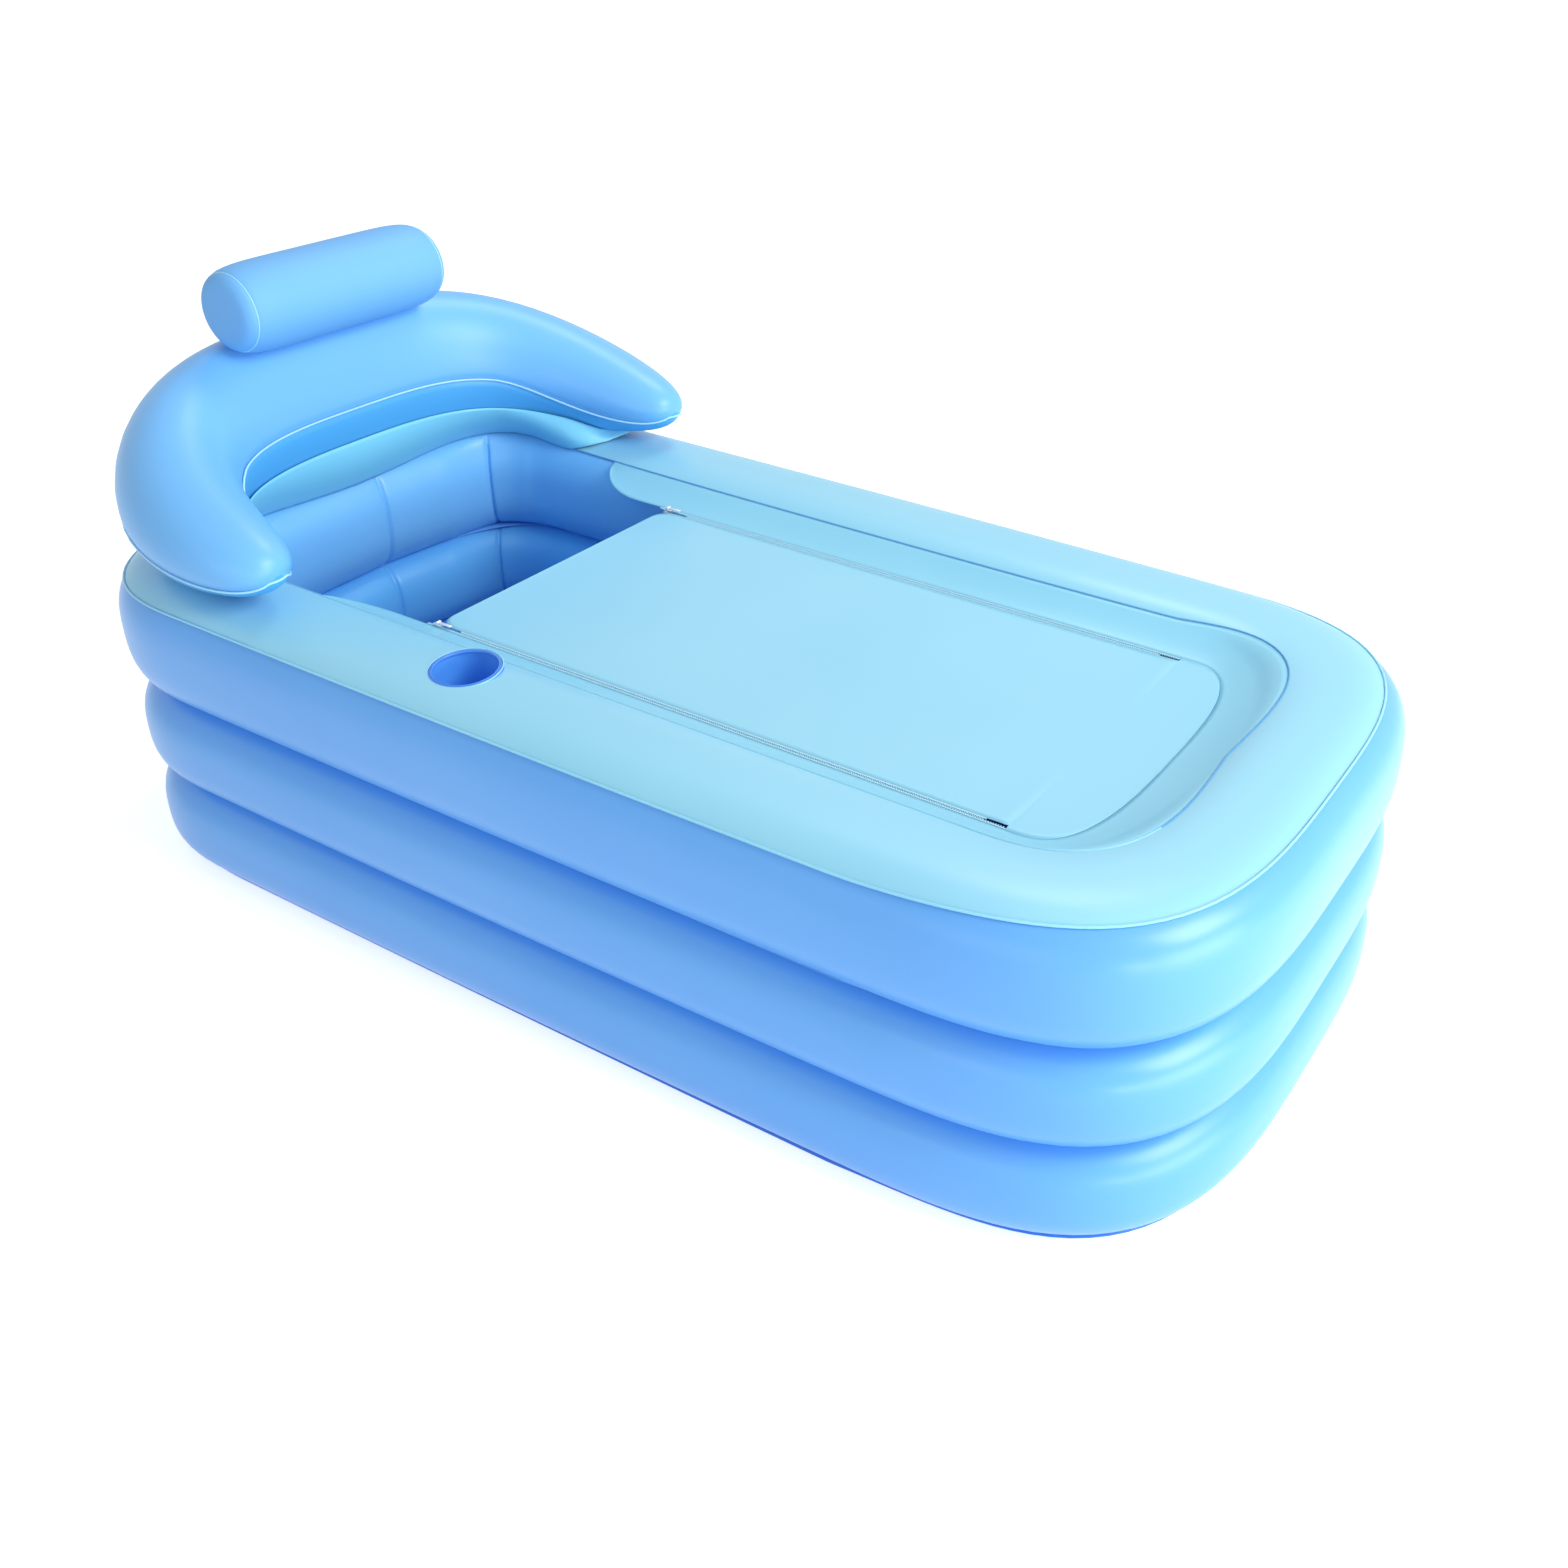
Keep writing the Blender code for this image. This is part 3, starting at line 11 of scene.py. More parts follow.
import bmesh
import bpy
from mathutils import Matrix, Vector, noise


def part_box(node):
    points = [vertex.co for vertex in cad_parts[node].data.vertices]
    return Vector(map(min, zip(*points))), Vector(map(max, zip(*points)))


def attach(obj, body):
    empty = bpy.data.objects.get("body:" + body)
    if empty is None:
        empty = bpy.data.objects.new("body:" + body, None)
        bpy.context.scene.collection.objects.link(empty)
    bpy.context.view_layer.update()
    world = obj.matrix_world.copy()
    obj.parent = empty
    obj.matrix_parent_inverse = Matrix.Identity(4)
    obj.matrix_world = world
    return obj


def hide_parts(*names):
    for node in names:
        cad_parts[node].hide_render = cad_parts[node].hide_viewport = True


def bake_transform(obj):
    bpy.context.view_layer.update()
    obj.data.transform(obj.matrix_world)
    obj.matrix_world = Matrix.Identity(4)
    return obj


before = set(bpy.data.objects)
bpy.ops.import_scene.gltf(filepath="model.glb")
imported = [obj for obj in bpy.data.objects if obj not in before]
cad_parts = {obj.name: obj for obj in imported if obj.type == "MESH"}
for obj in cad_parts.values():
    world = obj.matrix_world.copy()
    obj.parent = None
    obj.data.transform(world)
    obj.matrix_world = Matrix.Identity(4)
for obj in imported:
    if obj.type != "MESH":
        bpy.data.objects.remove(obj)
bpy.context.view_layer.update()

# %% [markdown]
# ## The camera
# The photograph was taken from the foot end, to the right of the tub, looking down by about thirty
# degrees, with a slight roll. Its frame is cropped off centre, and the camera's shift does the same.

# %% Camera
PHOTO_SIDE = 1568.0                 # pixels of the square photograph
FOCAL_PIXELS = 1616.27
CENTRE_PIXELS = (975.46, 735.37)
SHIFT_X = 0.00505                   # the wall's middle against the middle of the whole box
YAW, PITCH, ROLL = (math.radians(a) for a in (28.6954, 30.8592, 2.6687))
CAMERA_AT = (1.1246 + SHIFT_X, -1.4351, 1.2974)
SENSOR_MM = 36.0


def linked(name, data):
    """an object with this data, in the scene"""
    made = bpy.data.objects.new(name, data)
    bpy.context.scene.collection.objects.link(made)
    return made


def photo_camera():
    """the photograph's camera: where it stood, how it was turned and how its picture is cropped"""
    right = Vector((math.cos(YAW), math.sin(YAW), 0.0))
    back = Vector((math.sin(YAW) * math.cos(PITCH), -math.cos(YAW) * math.cos(PITCH), math.sin(PITCH)))
    up = back.cross(right)
    across = right * math.cos(ROLL) + up * math.sin(ROLL)
    upright = up * math.cos(ROLL) - right * math.sin(ROLL)
    data = bpy.data.cameras.new("photo_camera")
    data.sensor_fit = "HORIZONTAL"
    data.sensor_width = SENSOR_MM
    data.lens = data.sensor_width * FOCAL_PIXELS / PHOTO_SIDE
    data.shift_x = (PHOTO_SIDE / 2 - CENTRE_PIXELS[0]) / PHOTO_SIDE
    data.shift_y = (CENTRE_PIXELS[1] - PHOTO_SIDE / 2) / PHOTO_SIDE
    data.clip_end = 200.0
    camera = linked("photo_camera", data)
    turn = Matrix((across, upright, back)).transposed().to_4x4()
    camera.matrix_world = Matrix.Translation(CAMERA_AT) @ turn
    bpy.context.scene.camera = camera
    return camera


camera = photo_camera()
print("camera lens", round(camera.data.lens, 2), "mm")

# %% [markdown]
# ## Colours and nodes
# Paint shops and web pages write colours as sRGB hex values. Blender's shaders work with linear light,
# so one function turns hex to linear. Another adds a shader node with its settings and its links, and a
# third starts a material with no nodes.

# %% Helpers for materials


def tone(hex_code):
    """sRGB hex to linear RGBA"""
    channels = [int(hex_code[i:i + 2], 16) / 255 for i in (1, 3, 5)]
    return [c / 12.92 if c <= 0.04045 else ((c + 0.055) / 1.055) ** 2.4 for c in channels] + [1.0]


def add(material, kind, inputs=None, **settings):
    """one shader node: settings are its own properties, inputs are values or sockets to link from"""
    node = material.node_tree.nodes.new(kind)
    for key, value in settings.items():
        setattr(node, key, value)
    for key, value in (inputs or {}).items():
        if isinstance(value, bpy.types.NodeSocket):
            material.node_tree.links.new(value, node.inputs[key])
        else:
            node.inputs[key].default_value = value
    return node


def new_material(name):
    """a material with an empty node tree"""
    material = bpy.data.materials.new(name)
    material.use_nodes = True
    material.node_tree.nodes.clear()
    return material


print("tone of a mid blue:", [round(c, 3) for c in tone("#77B2F4")])

# %% [markdown]
# ## Floor, backdrop and lamps
# The picture is a studio shot on white. A wide pale floor catches the soft contact shadow, and the
# world behind it is white to the camera. Big soft lamps from the right and from above give vinyl its
# broad sheen, and the foot end, which faces them, comes out lighter than the long side.

# %% Stage
FLOOR_SIZE, FLOOR_GLOW, SKY_STRENGTH = 60.0, 0.60, 0.50


def mesh_of(name, bm):
    """the bmesh, written out as a mesh"""
    mesh = bpy.data.meshes.new(name)
    bm.to_mesh(mesh)
    bm.free()
    return mesh


def studio_floor():
    """white paper, lifted to the white of the backdrop where the camera or a reflection sees it"""
    bm = bmesh.new()
    bmesh.ops.create_grid(bm, x_segments=1, y_segments=1, size=FLOOR_SIZE)
    floor = linked("studio_floor", mesh_of("studio_floor", bm))
    paint = new_material("white_studio_paper")
    shader = add(paint, "ShaderNodeBsdfPrincipled",
                 {"Base Color": tone("#F7F9FC"), "Roughness": 0.9, "Specular IOR Level": 0.1})
    glow = add(paint, "ShaderNodeEmission", {"Color": tone("#FFFFFF"), "Strength": FLOOR_GLOW})
    path = add(paint, "ShaderNodeLightPath")
    both = add(paint, "ShaderNodeAddShader", {0: shader.outputs[0], 1: glow.outputs[0]})
    looked_at = add(paint, "ShaderNodeMath", {0: path.outputs["Is Camera Ray"],
                                              1: path.outputs["Is Glossy Ray"]}, operation="MAXIMUM")
    seen = add(paint, "ShaderNodeMixShader", {0: looked_at.outputs[0], 1: shader.outputs[0],
                                              2: both.outputs[0]})
    add(paint, "ShaderNodeOutputMaterial", {"Surface": seen.outputs[0]})
    floor.data.materials.append(paint)


def softbox(name, place, aim, size, watts):
    """a white rectangular lamp at place that looks at aim"""
    data = bpy.data.lights.new(name, "AREA")
    data.shape = "RECTANGLE"
    data.size, data.size_y = size
    data.energy = watts
    lamp = linked(name, data)
    direction = Vector(aim) - Vector(place)
    turn = direction.to_track_quat("-Z", "Y").to_matrix().to_4x4()
    lamp.matrix_world = Matrix.Translation(place) @ turn


def studio_world():
    """soft light on the tub, and plain white for the camera, reflections and clear parts"""
    world = bpy.data.worlds.new("white_studio")
    bpy.context.scene.world = world
    world.use_nodes = True
    world.node_tree.nodes.clear()
    path = add(world, "ShaderNodeLightPath")
    soft = add(world, "ShaderNodeBackground", {"Color": tone("#F4F9FF"), "Strength": SKY_STRENGTH})
    white = add(world, "ShaderNodeBackground", {"Color": tone("#FFFFFF"), "Strength": 1.0})
    looked_at = add(world, "ShaderNodeMath", {0: path.outputs["Is Camera Ray"],
                                              1: path.outputs["Is Glossy Ray"]}, operation="MAXIMUM")
    seen = add(world, "ShaderNodeMath", {0: looked_at.outputs[0],
                                         1: path.outputs["Is Transmission Ray"]}, operation="MAXIMUM")
    mix = add(world, "ShaderNodeMixShader", {0: seen.outputs[0], 1: soft.outputs[0], 2: white.outputs[0]})
    add(world, "ShaderNodeOutputWorld", {"Surface": mix.outputs[0]})


bpy.context.scene.view_settings.view_transform = "Standard"
studio_floor()
studio_world()
softbox("foot_softbox", (4.0, -0.3, 0.75), (0.6, 0.0, 0.25), (2.6, 1.3), 56.0)
softbox("foot_high_softbox", (3.3, 0.3, 2.9), (-0.3, 0.0, 0.3), (2.0, 1.6), 100.0)
softbox("corner_softbox", (3.2, -2.0, 0.60), (0.7, -0.3, 0.30), (0.7, 0.5), 11.0)
softbox("front_softbox", (0.2, -4.2, 1.2), (0.0, 0.0, 0.3), (3.2, 1.8), 20.0)
softbox("top_softbox", (-0.35, 1.55, 2.9), (-0.5, 0.0, 0.4), (1.0, 0.9), 17.0)
print("lamps:", [(lamp.name, lamp.energy) for lamp in bpy.data.lights])

# %% [markdown]
# ## Soft PVC film
# Plasticised PVC is calendered between polished rollers. It comes out with an even satin gloss, an
# index of refraction near 1.53 and hardly any texture. What the eye reads as vinyl is the slow waviness
# of the inflated film and the slightly uneven gloss, so both are drawn from noise at real sizes. A fine
# grain of 1.2 mm keeps the highlights from looking like glass. The tub is welded from films of several
# tones: mid blue outside, sky blue for the backrest and pillow, pale turquoise for the rim and the cover.
# The inside films are a brighter blue, a painted glow that stands in for light coming through the film.
# Darker copies of the films are painted shade on the sloped strip, on the band under the backrest and on
# the backrest's underside. The weld beads are a little paler than their film, and the dark line at the
# rim's inner weld is painted crevice shade.

# %% Film materials
PVC_IOR, GRAIN_MM, GRAIN_DEPTH = 1.53, 1.2, 0.00005


def calendered_film(name, light, deep, roughness=0.30, wave_mm=70.0, wave_depth=0.0006):
    """satin PVC film: two close tones, slow waves in the gloss and in the surface"""
    film = new_material(name)
    place = add(film, "ShaderNodeTexCoord")
    cloud, wave, grain = (add(film, "ShaderNodeTexNoise", {"Vector": place.outputs["Object"],
                                                           "Scale": 1000.0 / mm, "Detail": detail})
                          for mm, detail in ((wave_mm * 4, 2.0), (wave_mm, 1.0), (GRAIN_MM, 1.0)))
    colour = add(film, "ShaderNodeMix", {0: cloud.outputs["Fac"], 6: tone(light), 7: tone(deep)},
                 data_type="RGBA")
    gloss = add(film, "ShaderNodeMapRange", {"Value": cloud.outputs["Fac"], "From Min": 0.3,
                                             "From Max": 0.7, "To Min": roughness - 0.03,
                                             "To Max": roughness + 0.04})
    slow = add(film, "ShaderNodeBump", {"Height": wave.outputs["Fac"], "Strength": 0.5,
                                        "Distance": wave_depth})
    fine = add(film, "ShaderNodeBump", {"Height": grain.outputs["Fac"], "Strength": 0.15,
                                        "Distance": GRAIN_DEPTH, "Normal": slow.outputs[0]})
    shader = add(film, "ShaderNodeBsdfPrincipled",
                 {"Base Color": colour.outputs[2], "Roughness": gloss.outputs[0], "IOR": PVC_IOR,
                  "Normal": fine.outputs[0]})
    add(film, "ShaderNodeOutputMaterial", {"Surface": shader.outputs[0]})
    return film


wall_vinyl = calendered_film("blue_calendered_pvc", "#69B2F7", "#60AAF2", roughness=0.32)
pale_vinyl = calendered_film("pale_calendered_pvc", "#9BDAF0", "#92D4EE", roughness=0.36)
head_vinyl = calendered_film("sky_calendered_pvc", "#76BEF8", "#6DB7F4", roughness=0.38)
deep_vinyl = calendered_film("deep_blue_calendered_pvc", "#4490F2", "#3C87EC", roughness=0.34)
weld_vinyl = calendered_film("pale_welded_pvc_bead", "#9FE2F8", "#90DAF5", roughness=0.28)
sky_weld = calendered_film("sky_welded_pvc_bead", "#B4E9FC", "#A6E0FA", roughness=0.28)
# brighter blues for the bath's side of the rings: painted glow that stands in for light through the film
inner_glow_painted_vinyl = calendered_film("blue_pvc_painted_inner_glow", "#70C6FF", "#66BFFE", roughness=0.34)
inner_glow_painted_sky = calendered_film("sky_pvc_painted_inner_glow", "#80CAFF", "#77C4FD", roughness=0.34)
# a deeper sky blue for the backrest's underside: painted shade
underside_painted_shade_vinyl = calendered_film("sky_pvc_painted_underside_shade", "#55B3F1", "#4EACEE", roughness=0.40)
cup_vinyl = calendered_film("bright_blue_cup_pvc", "#5FB0FD", "#57A9FA", roughness=0.34)
matt_vinyl = calendered_film("matt_sky_calendered_pvc", "#76B9F2", "#6EB3EF", roughness=0.58)
ring_vinyl = calendered_film("mid_blue_calendered_pvc", "#4E90EC", "#4688E6", roughness=0.32)
# a darker blue for the line at the rim's inner weld: painted crevice shade
crevice_shade_line_vinyl = calendered_film("blue_painted_crevice_shade_line", "#5FA9DE", "#559FD6", roughness=0.36)
# a slightly darker copy of the pale film for the strip: painted shade on its slope
strip_painted_shade_vinyl = calendered_film("pale_pvc_painted_slope_shade", "#94D8EF", "#8AD0EB", roughness=0.38)
# a deeper pale blue for the film band: painted shade under the backrest
band_painted_shade_vinyl = calendered_film("pale_pvc_painted_backrest_shade", "#84DAF6", "#79D0F3", roughness=0.36)
print("films:", [m.name for m in bpy.data.materials if "pvc" in m.name])

# %% [markdown]
# ## The plan of the wall
# Both ends of the tub are superellipses, curves between an ellipse and a rectangle. An outer and an
# inner plan are read at the same parameter, so that any wall piece can be swept between them. The
# numbers are those of the CAD model.

# %% Plan curves
LENGTH, WIDTH = 1.600, 0.840
HEAD_CAP, FOOT_CAP = 0.265, 0.413   # length of the rounded ends
HEAD_ROUND, FOOT_ROUND = 2.73, 3.48     # exponents of their superellipses
INNER_HEAD_CAP, INNER_FOOT_CAP, INNER_ROUND = 0.100, 0.140, 3.0
HEAD_WALL, FOOT_WALL, SIDE_WALL = 0.140, 0.178, 0.170
SIDE_BOW = 0.0075                   # the long sides bulge out by this much
FINE_STEPS = 1200


def power(value, exponent):
    """a power that keeps the sign of its base"""
    return math.copysign(abs(value) ** exponent, value)


def clamped(value):
    """the value, kept between 0 and 1"""
    return min(1.0, max(0.0, value))


def spaced_angles(cap, half_width, exponent, count):
    """parameters of a quarter superellipse that lie at even steps along its arc"""
    fine = [math.pi / 2 * i / FINE_STEPS for i in range(FINE_STEPS + 1)]
    points = [(cap * power(math.cos(a), 2 / exponent), half_width * power(math.sin(a), 2 / exponent))
              for a in fine]
    run = [0.0]
    for p, q in zip(points, points[1:]):
        run.append(run[-1] + math.hypot(q[0] - p[0], q[1] - p[1]))
    angles, i = [], 0
    for k in range(count):
        while i < FINE_STEPS and run[i] < run[-1] * k / (count - 1):
            i += 1
        angles.append(fine[i])
    return angles


print("length of the rounded ends:", HEAD_CAP, FOOT_CAP, "m")

# %% The wall's two plans
CAP_POINTS, SIDE_POINTS = 34, 22
FOOT_ANGLES = spaced_angles(FOOT_CAP, WIDTH / 2, FOOT_ROUND, CAP_POINTS)
HEAD_ANGLES = spaced_angles(HEAD_CAP, WIDTH / 2, HEAD_ROUND, CAP_POINTS)


def plan(x_head, x_foot, half_width, head, foot, bow=0.0):
    """closed outline from the foot's nose round by +Y; head and foot are (cap length, exponent)"""
    half = []
    for a in FOOT_ANGLES:
        half.append((x_foot - foot[0] + foot[0] * power(math.cos(a), 2 / foot[1]),
                     half_width * power(math.sin(a), 2 / foot[1])))
    near_foot, near_head = x_foot - foot[0], x_head + head[0]
    for k in range(1, SIDE_POINTS + 1):
        half.append((near_foot + (near_head - near_foot) * k / (SIDE_POINTS + 1), half_width))
    for a in reversed(HEAD_ANGLES):
        half.append((near_head - head[0] * power(math.cos(a), 2 / head[1]),
                     half_width * power(math.sin(a), 2 / head[1])))
    middle, length = (x_head + x_foot) / 2, x_foot - x_head
    half = [(x, y * (1 + bow / half_width * (math.cos(math.pi * (x - middle) / length) - 1)))
            for x, y in half]
    return half + [(x, -y) for x, y in reversed(half[1:-1])]


OUTER = plan(-LENGTH / 2, LENGTH / 2, WIDTH / 2, (HEAD_CAP, HEAD_ROUND), (FOOT_CAP, FOOT_ROUND), SIDE_BOW)
INNER = plan(-LENGTH / 2 + HEAD_WALL, LENGTH / 2 - FOOT_WALL, WIDTH / 2 - SIDE_WALL,
             (INNER_HEAD_CAP, INNER_ROUND), (INNER_FOOT_CAP, INNER_ROUND))
ROUND = len(OUTER)
print("stations round the wall:", ROUND)

# %% Points of the wall


def on_plan(outline, station):
    """a point of a closed outline at a fractional station"""
    i = int(math.floor(station))
    share = station - i
    a, b = outline[i % ROUND], outline[(i + 1) % ROUND]
    return a[0] + (b[0] - a[0]) * share, a[1] + (b[1] - a[1]) * share


def wall_point(station, along, height):
    """a point of the wall; along is measured outwards from the middle of its thickness"""
    ox, oy = on_plan(OUTER, station)
    ix, iy = on_plan(INNER, station)
    mx, my = (ox + ix) / 2, (oy + iy) / 2
    half = math.hypot(ox - ix, oy - iy) / 2
    return Vector((mx + (ox - mx) * along / half + SHIFT_X, my + (oy - my) * along / half, height))


def half_wall(station):
    """half the wall's thickness there"""
    ox, oy = on_plan(OUTER, station)
    ix, iy = on_plan(INNER, station)
    return math.hypot(ox - ix, oy - iy) / 2


print("wall at the foot's nose:", round(2 * half_wall(0), 3), "m thick")

# %% [markdown]
# ## A skin from a grid
# Most of the tub is film stretched over air. A grid of two directions is the natural start for such a
# skin: it is created flat, each of its points is moved to its place, and edges that meet are merged.
# The grid also brings a UV map, which later tells the film on one side of a weld from the other.

# %% Skin helper


def skin(name, columns, rows, place, thickness=0.0, offset=-1.0):
    """a grid with a column for each value in columns and a row for each in rows, moved by place"""
    bm = bmesh.new()
    bm.loops.layers.uv.new("film")
    bmesh.ops.create_grid(bm, x_segments=len(columns) - 1, y_segments=len(rows) - 1, size=0.5,
                          calc_uvs=True)
    for v in bm.verts:
        i = round((v.co.x + 0.5) * (len(columns) - 1))
        j = round((v.co.y + 0.5) * (len(rows) - 1))
        v.co = place(columns[i], rows[j])
    bmesh.ops.remove_doubles(bm, verts=bm.verts, dist=0.00001)
    bmesh.ops.recalc_face_normals(bm, faces=bm.faces)
    return finished(name, bm, thickness, offset)


def closed_up(piece):
    """fills the open ends of a skin, so that it is a closed air chamber"""
    bm = bmesh.new()
    bm.from_mesh(piece.data)
    bmesh.ops.holes_fill(bm, edges=[e for e in bm.edges if e.is_boundary], sides=0)
    bmesh.ops.recalc_face_normals(bm, faces=bm.faces)
    bm.to_mesh(piece.data)
    bm.free()


def finished(name, bm, thickness=0.0, offset=-1.0):
    """the mesh object, shaded smooth, with a film thickness if it has one"""
    piece = linked(name, mesh_of(name, bm))
    piece.data.shade_smooth()
    if thickness:
        solid = piece.modifiers.new("film", "SOLIDIFY")
        solid.thickness = thickness
        solid.offset = offset
    return piece


def dress(piece, material, body, *replaced):
    """gives a piece its finish, its body and the CAD nodes that it stands for"""
    piece.data.materials.clear()
    piece.data.materials.append(material)
    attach(piece, body)
    if replaced:
        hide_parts(*replaced)


def bead(name, points, radius, closed):
    """a round weld bead along a line, made a mesh"""
    curve = bpy.data.curves.new(name, "CURVE")
    curve.dimensions = "3D"
    curve.bevel_depth = radius
    curve.bevel_resolution = 2
    curve.use_fill_caps = not closed
    spline = curve.splines.new("POLY")
    spline.points.add(len(points) - 1)
    for point, co in zip(spline.points, points):
        point.co = (*co, 1.0)
    spline.use_cyclic_u = closed
    drawn = linked(name + "_line", curve)
    mesh = bpy.data.meshes.new_from_object(drawn.evaluated_get(bpy.context.evaluated_depsgraph_get()))
    bpy.data.objects.remove(drawn)
    bm = bmesh.new()
    bm.from_mesh(mesh)
    bpy.data.meshes.remove(mesh)
    bmesh.ops.remove_doubles(bm, verts=bm.verts, dist=0.00002)
    return finished(name, bm)


# %% [markdown]
# ## The three air rings
# A welded air ring is a tube of film, flattened where it is welded to its neighbour and round where it
# is free. Its section is a superellipse cut flat at the weld. On the corners the film has to be
# gathered into the weld, which leaves small fading puckers there. The sheet that makes the inner side is
# joined by three upright welds, one in each head corner and one on the head wall, and each draws the
# film in to a crease.

# %% Air rings
SEAT = 0.0003
BASE_FILM, WELD_WEB = 0.0012, 0.0010
LOWER, MIDDLE, UPPER = 0.1220, 0.1240, 0.1570
SECTION, FLAT = 2.9, 0.94
LOWER_Z = BASE_FILM + SEAT
MIDDLE_Z = LOWER_Z + LOWER + WELD_WEB + 2 * SEAT
UPPER_Z = MIDDLE_Z + MIDDLE + WELD_WEB + 2 * SEAT
RIM_Z = UPPER_Z + UPPER
print("welds and rim at", [round(z, 4) for z in (MIDDLE_Z, UPPER_Z, RIM_Z)], "m")


def ring_levels(low, high, flat_high):
    """middle height and half height of a ring whose section is cut flat where it is welded"""
    half = (high - low) / (FLAT + (FLAT if flat_high else 1.0))
    return low + FLAT * half, half


def section(angle, half_width, half_height, offset=0.0):
    """a point of a ring's section, across the wall and up"""
    return ((half_width + offset) * power(math.cos(angle), 2 / SECTION),
            (half_height + offset) * power(math.sin(angle), 2 / SECTION))


def from_foot(station):
    """stations from the foot's nose, the shorter way round"""
    s = station % ROUND
    return min(s, ROUND - s)


def cornering(station):
    """1 on the rounded corners, 0 on the straight sides and on the noses of the ends"""
    s, last = from_foot(station), CAP_POINTS - 1
    if s <= last:
        return math.sin(math.pi * s / last) ** 2
    if s >= ROUND / 2 - last:
        return math.sin(math.pi * (ROUND / 2 - s) / last) ** 2
    return 0.0


SLOW_RATE, FINE_RATE, CORNER_PUCKER = 0.55, 1.35, 0.65


def noise_round(station, rate, seed):
    """noise along the wall that closes on itself; rate is its pace for each station"""
    turn, reach = 2 * math.pi * station / ROUND, rate * ROUND / (2 * math.pi)
    return noise.noise(Vector((reach * math.cos(turn), reach * math.sin(turn), seed)))


def pucker(station, share, depth, seed):
    """small folds that fade away from a weld; share is 1 at the weld"""
    slow = noise_round(station, SLOW_RATE, seed)
    fine = noise_round(station, FINE_RATE, seed + 7.0)
    deeper = 1 - CORNER_PUCKER + CORNER_PUCKER * cornering(station)
    return depth * share * deeper * (0.6 * slow + 0.4 * fine)


# %% Upright welds
CORNER_WELDS, HEAD_WELD = (68.8, ROUND - 68.8), 86.2                # stations
CORNER_DRAW, HEAD_DRAW = (7.5, 0.017), (5.0, 0.004)                 # stations on either side, and depth
CREASE_WIDE, CREASE_DEEP = 0.30, 0.0045


def wall_weld(station):
    """how far the upright welds draw the inner film in"""
    pull = 0.0
    for weld, (wide, deep) in ((CORNER_WELDS[0], CORNER_DRAW), (CORNER_WELDS[1], CORNER_DRAW),
                               (HEAD_WELD, HEAD_DRAW)):
        away = abs(station - weld)
        pull += deep * max(0.0, 1 - away / wide) ** 1.3
        pull += CREASE_DEEP * math.exp(-(away / CREASE_WIDE) ** 2)
    return pull


stations = [k * 0.5 for k in range(2 * ROUND)] + [ROUND]
weld_steps = [w + d for w in (*CORNER_WELDS, HEAD_WELD)
              for d in (-0.8, -0.55, -0.38, -0.25, -0.12, 0.0, 0.12, 0.25, 0.38, 0.55, 0.8)]
ring_stations = sorted([s for s in stations if min(abs(s - w) for w in weld_steps) > 0.06] + weld_steps)
print("columns of a ring:", len(ring_stations))

# %% Shape of a ring
PUCKER_REACH, PUCKER_DEEP = 0.030, 0.0030
RIM_COVERED, WELD_FADE = 0.42, 0.45     # the rim film holds the top of the upper ring's inside taut
SECTION_STEPS = 72


def air_ring(name, low, high, flat_high, seed):
    """a ring from low to high; flat_high says whether another ring is welded on top"""
    centre, half = ring_levels(low, high, flat_high)

    def place(station, angle):
        wide = half_wall(station)
        u, v = section(angle, wide, half)
        z = max(centre + v, low)
        z = min(z, high) if flat_high else z
        near_low = max(0.0, 1 - (z - low) / PUCKER_REACH) ** 2
        near_high = max(0.0, 1 - (high - z) / PUCKER_REACH) ** 2 if flat_high else 0.0
        free = min(1.0, abs(u) / wide * 1.4)
        u -= math.copysign(1.0, u) * abs(pucker(station, near_low + near_high, PUCKER_DEEP, seed)) * free
        covered = RIM_COVERED if angle < math.pi and not flat_high else 0.0
        u += wall_weld(station) * clamped((-math.cos(angle) - covered) / WELD_FADE)
        return wall_point(station, u, z)

    angles = [2 * math.pi * k / SECTION_STEPS for k in range(SECTION_STEPS)] + [2 * math.pi]
    return skin(name, ring_stations, angles, place)


print("heights of the rings:", LOWER, MIDDLE, UPPER)

# %% The cup holder's hole
CUP_X, CUP_Y, CUP_LIFT, CUP_TILT = -0.138, -0.325, 0.0012, math.radians(4.5)
CUP_HOLE, CUP_RADIUS, CUP_OPENING, CUP_DEPTH = 0.0413, 0.0410, 0.0362, 0.0950


def cup_frame():
    """the cup holder's place: it leans out a little, because it lies on the outer half of the rim"""
    return (Matrix.Translation((CUP_X + SHIFT_X, CUP_Y, RIM_Z + CUP_LIFT))
            @ Matrix.Rotation(CUP_TILT, 4, "X"))


def cut_round(piece, radius, reach):
    """a round hole on the cup holder's axis, through the skin only"""
    bm = bmesh.new()
    bmesh.ops.create_cone(bm, cap_ends=True, segments=96, radius1=radius, radius2=radius, depth=2 * reach)
    cutter = linked("cup_cutter", mesh_of("cup_cutter", bm))
    cutter.data.transform(cup_frame())
    hole = piece.modifiers.new("cup_hole", "BOOLEAN")
    hole.operation = "DIFFERENCE"
    hole.solver = "EXACT"
    hole.object = cutter
    bpy.context.view_layer.update()
    cut = bpy.data.meshes.new_from_object(piece.evaluated_get(bpy.context.evaluated_depsgraph_get()))
    piece.modifiers.clear()
    piece.data = cut
    piece.data.shade_smooth()
    piece.data.set_sharp_from_angle(angle=math.radians(50))
    bpy.data.objects.remove(cutter)
    return piece


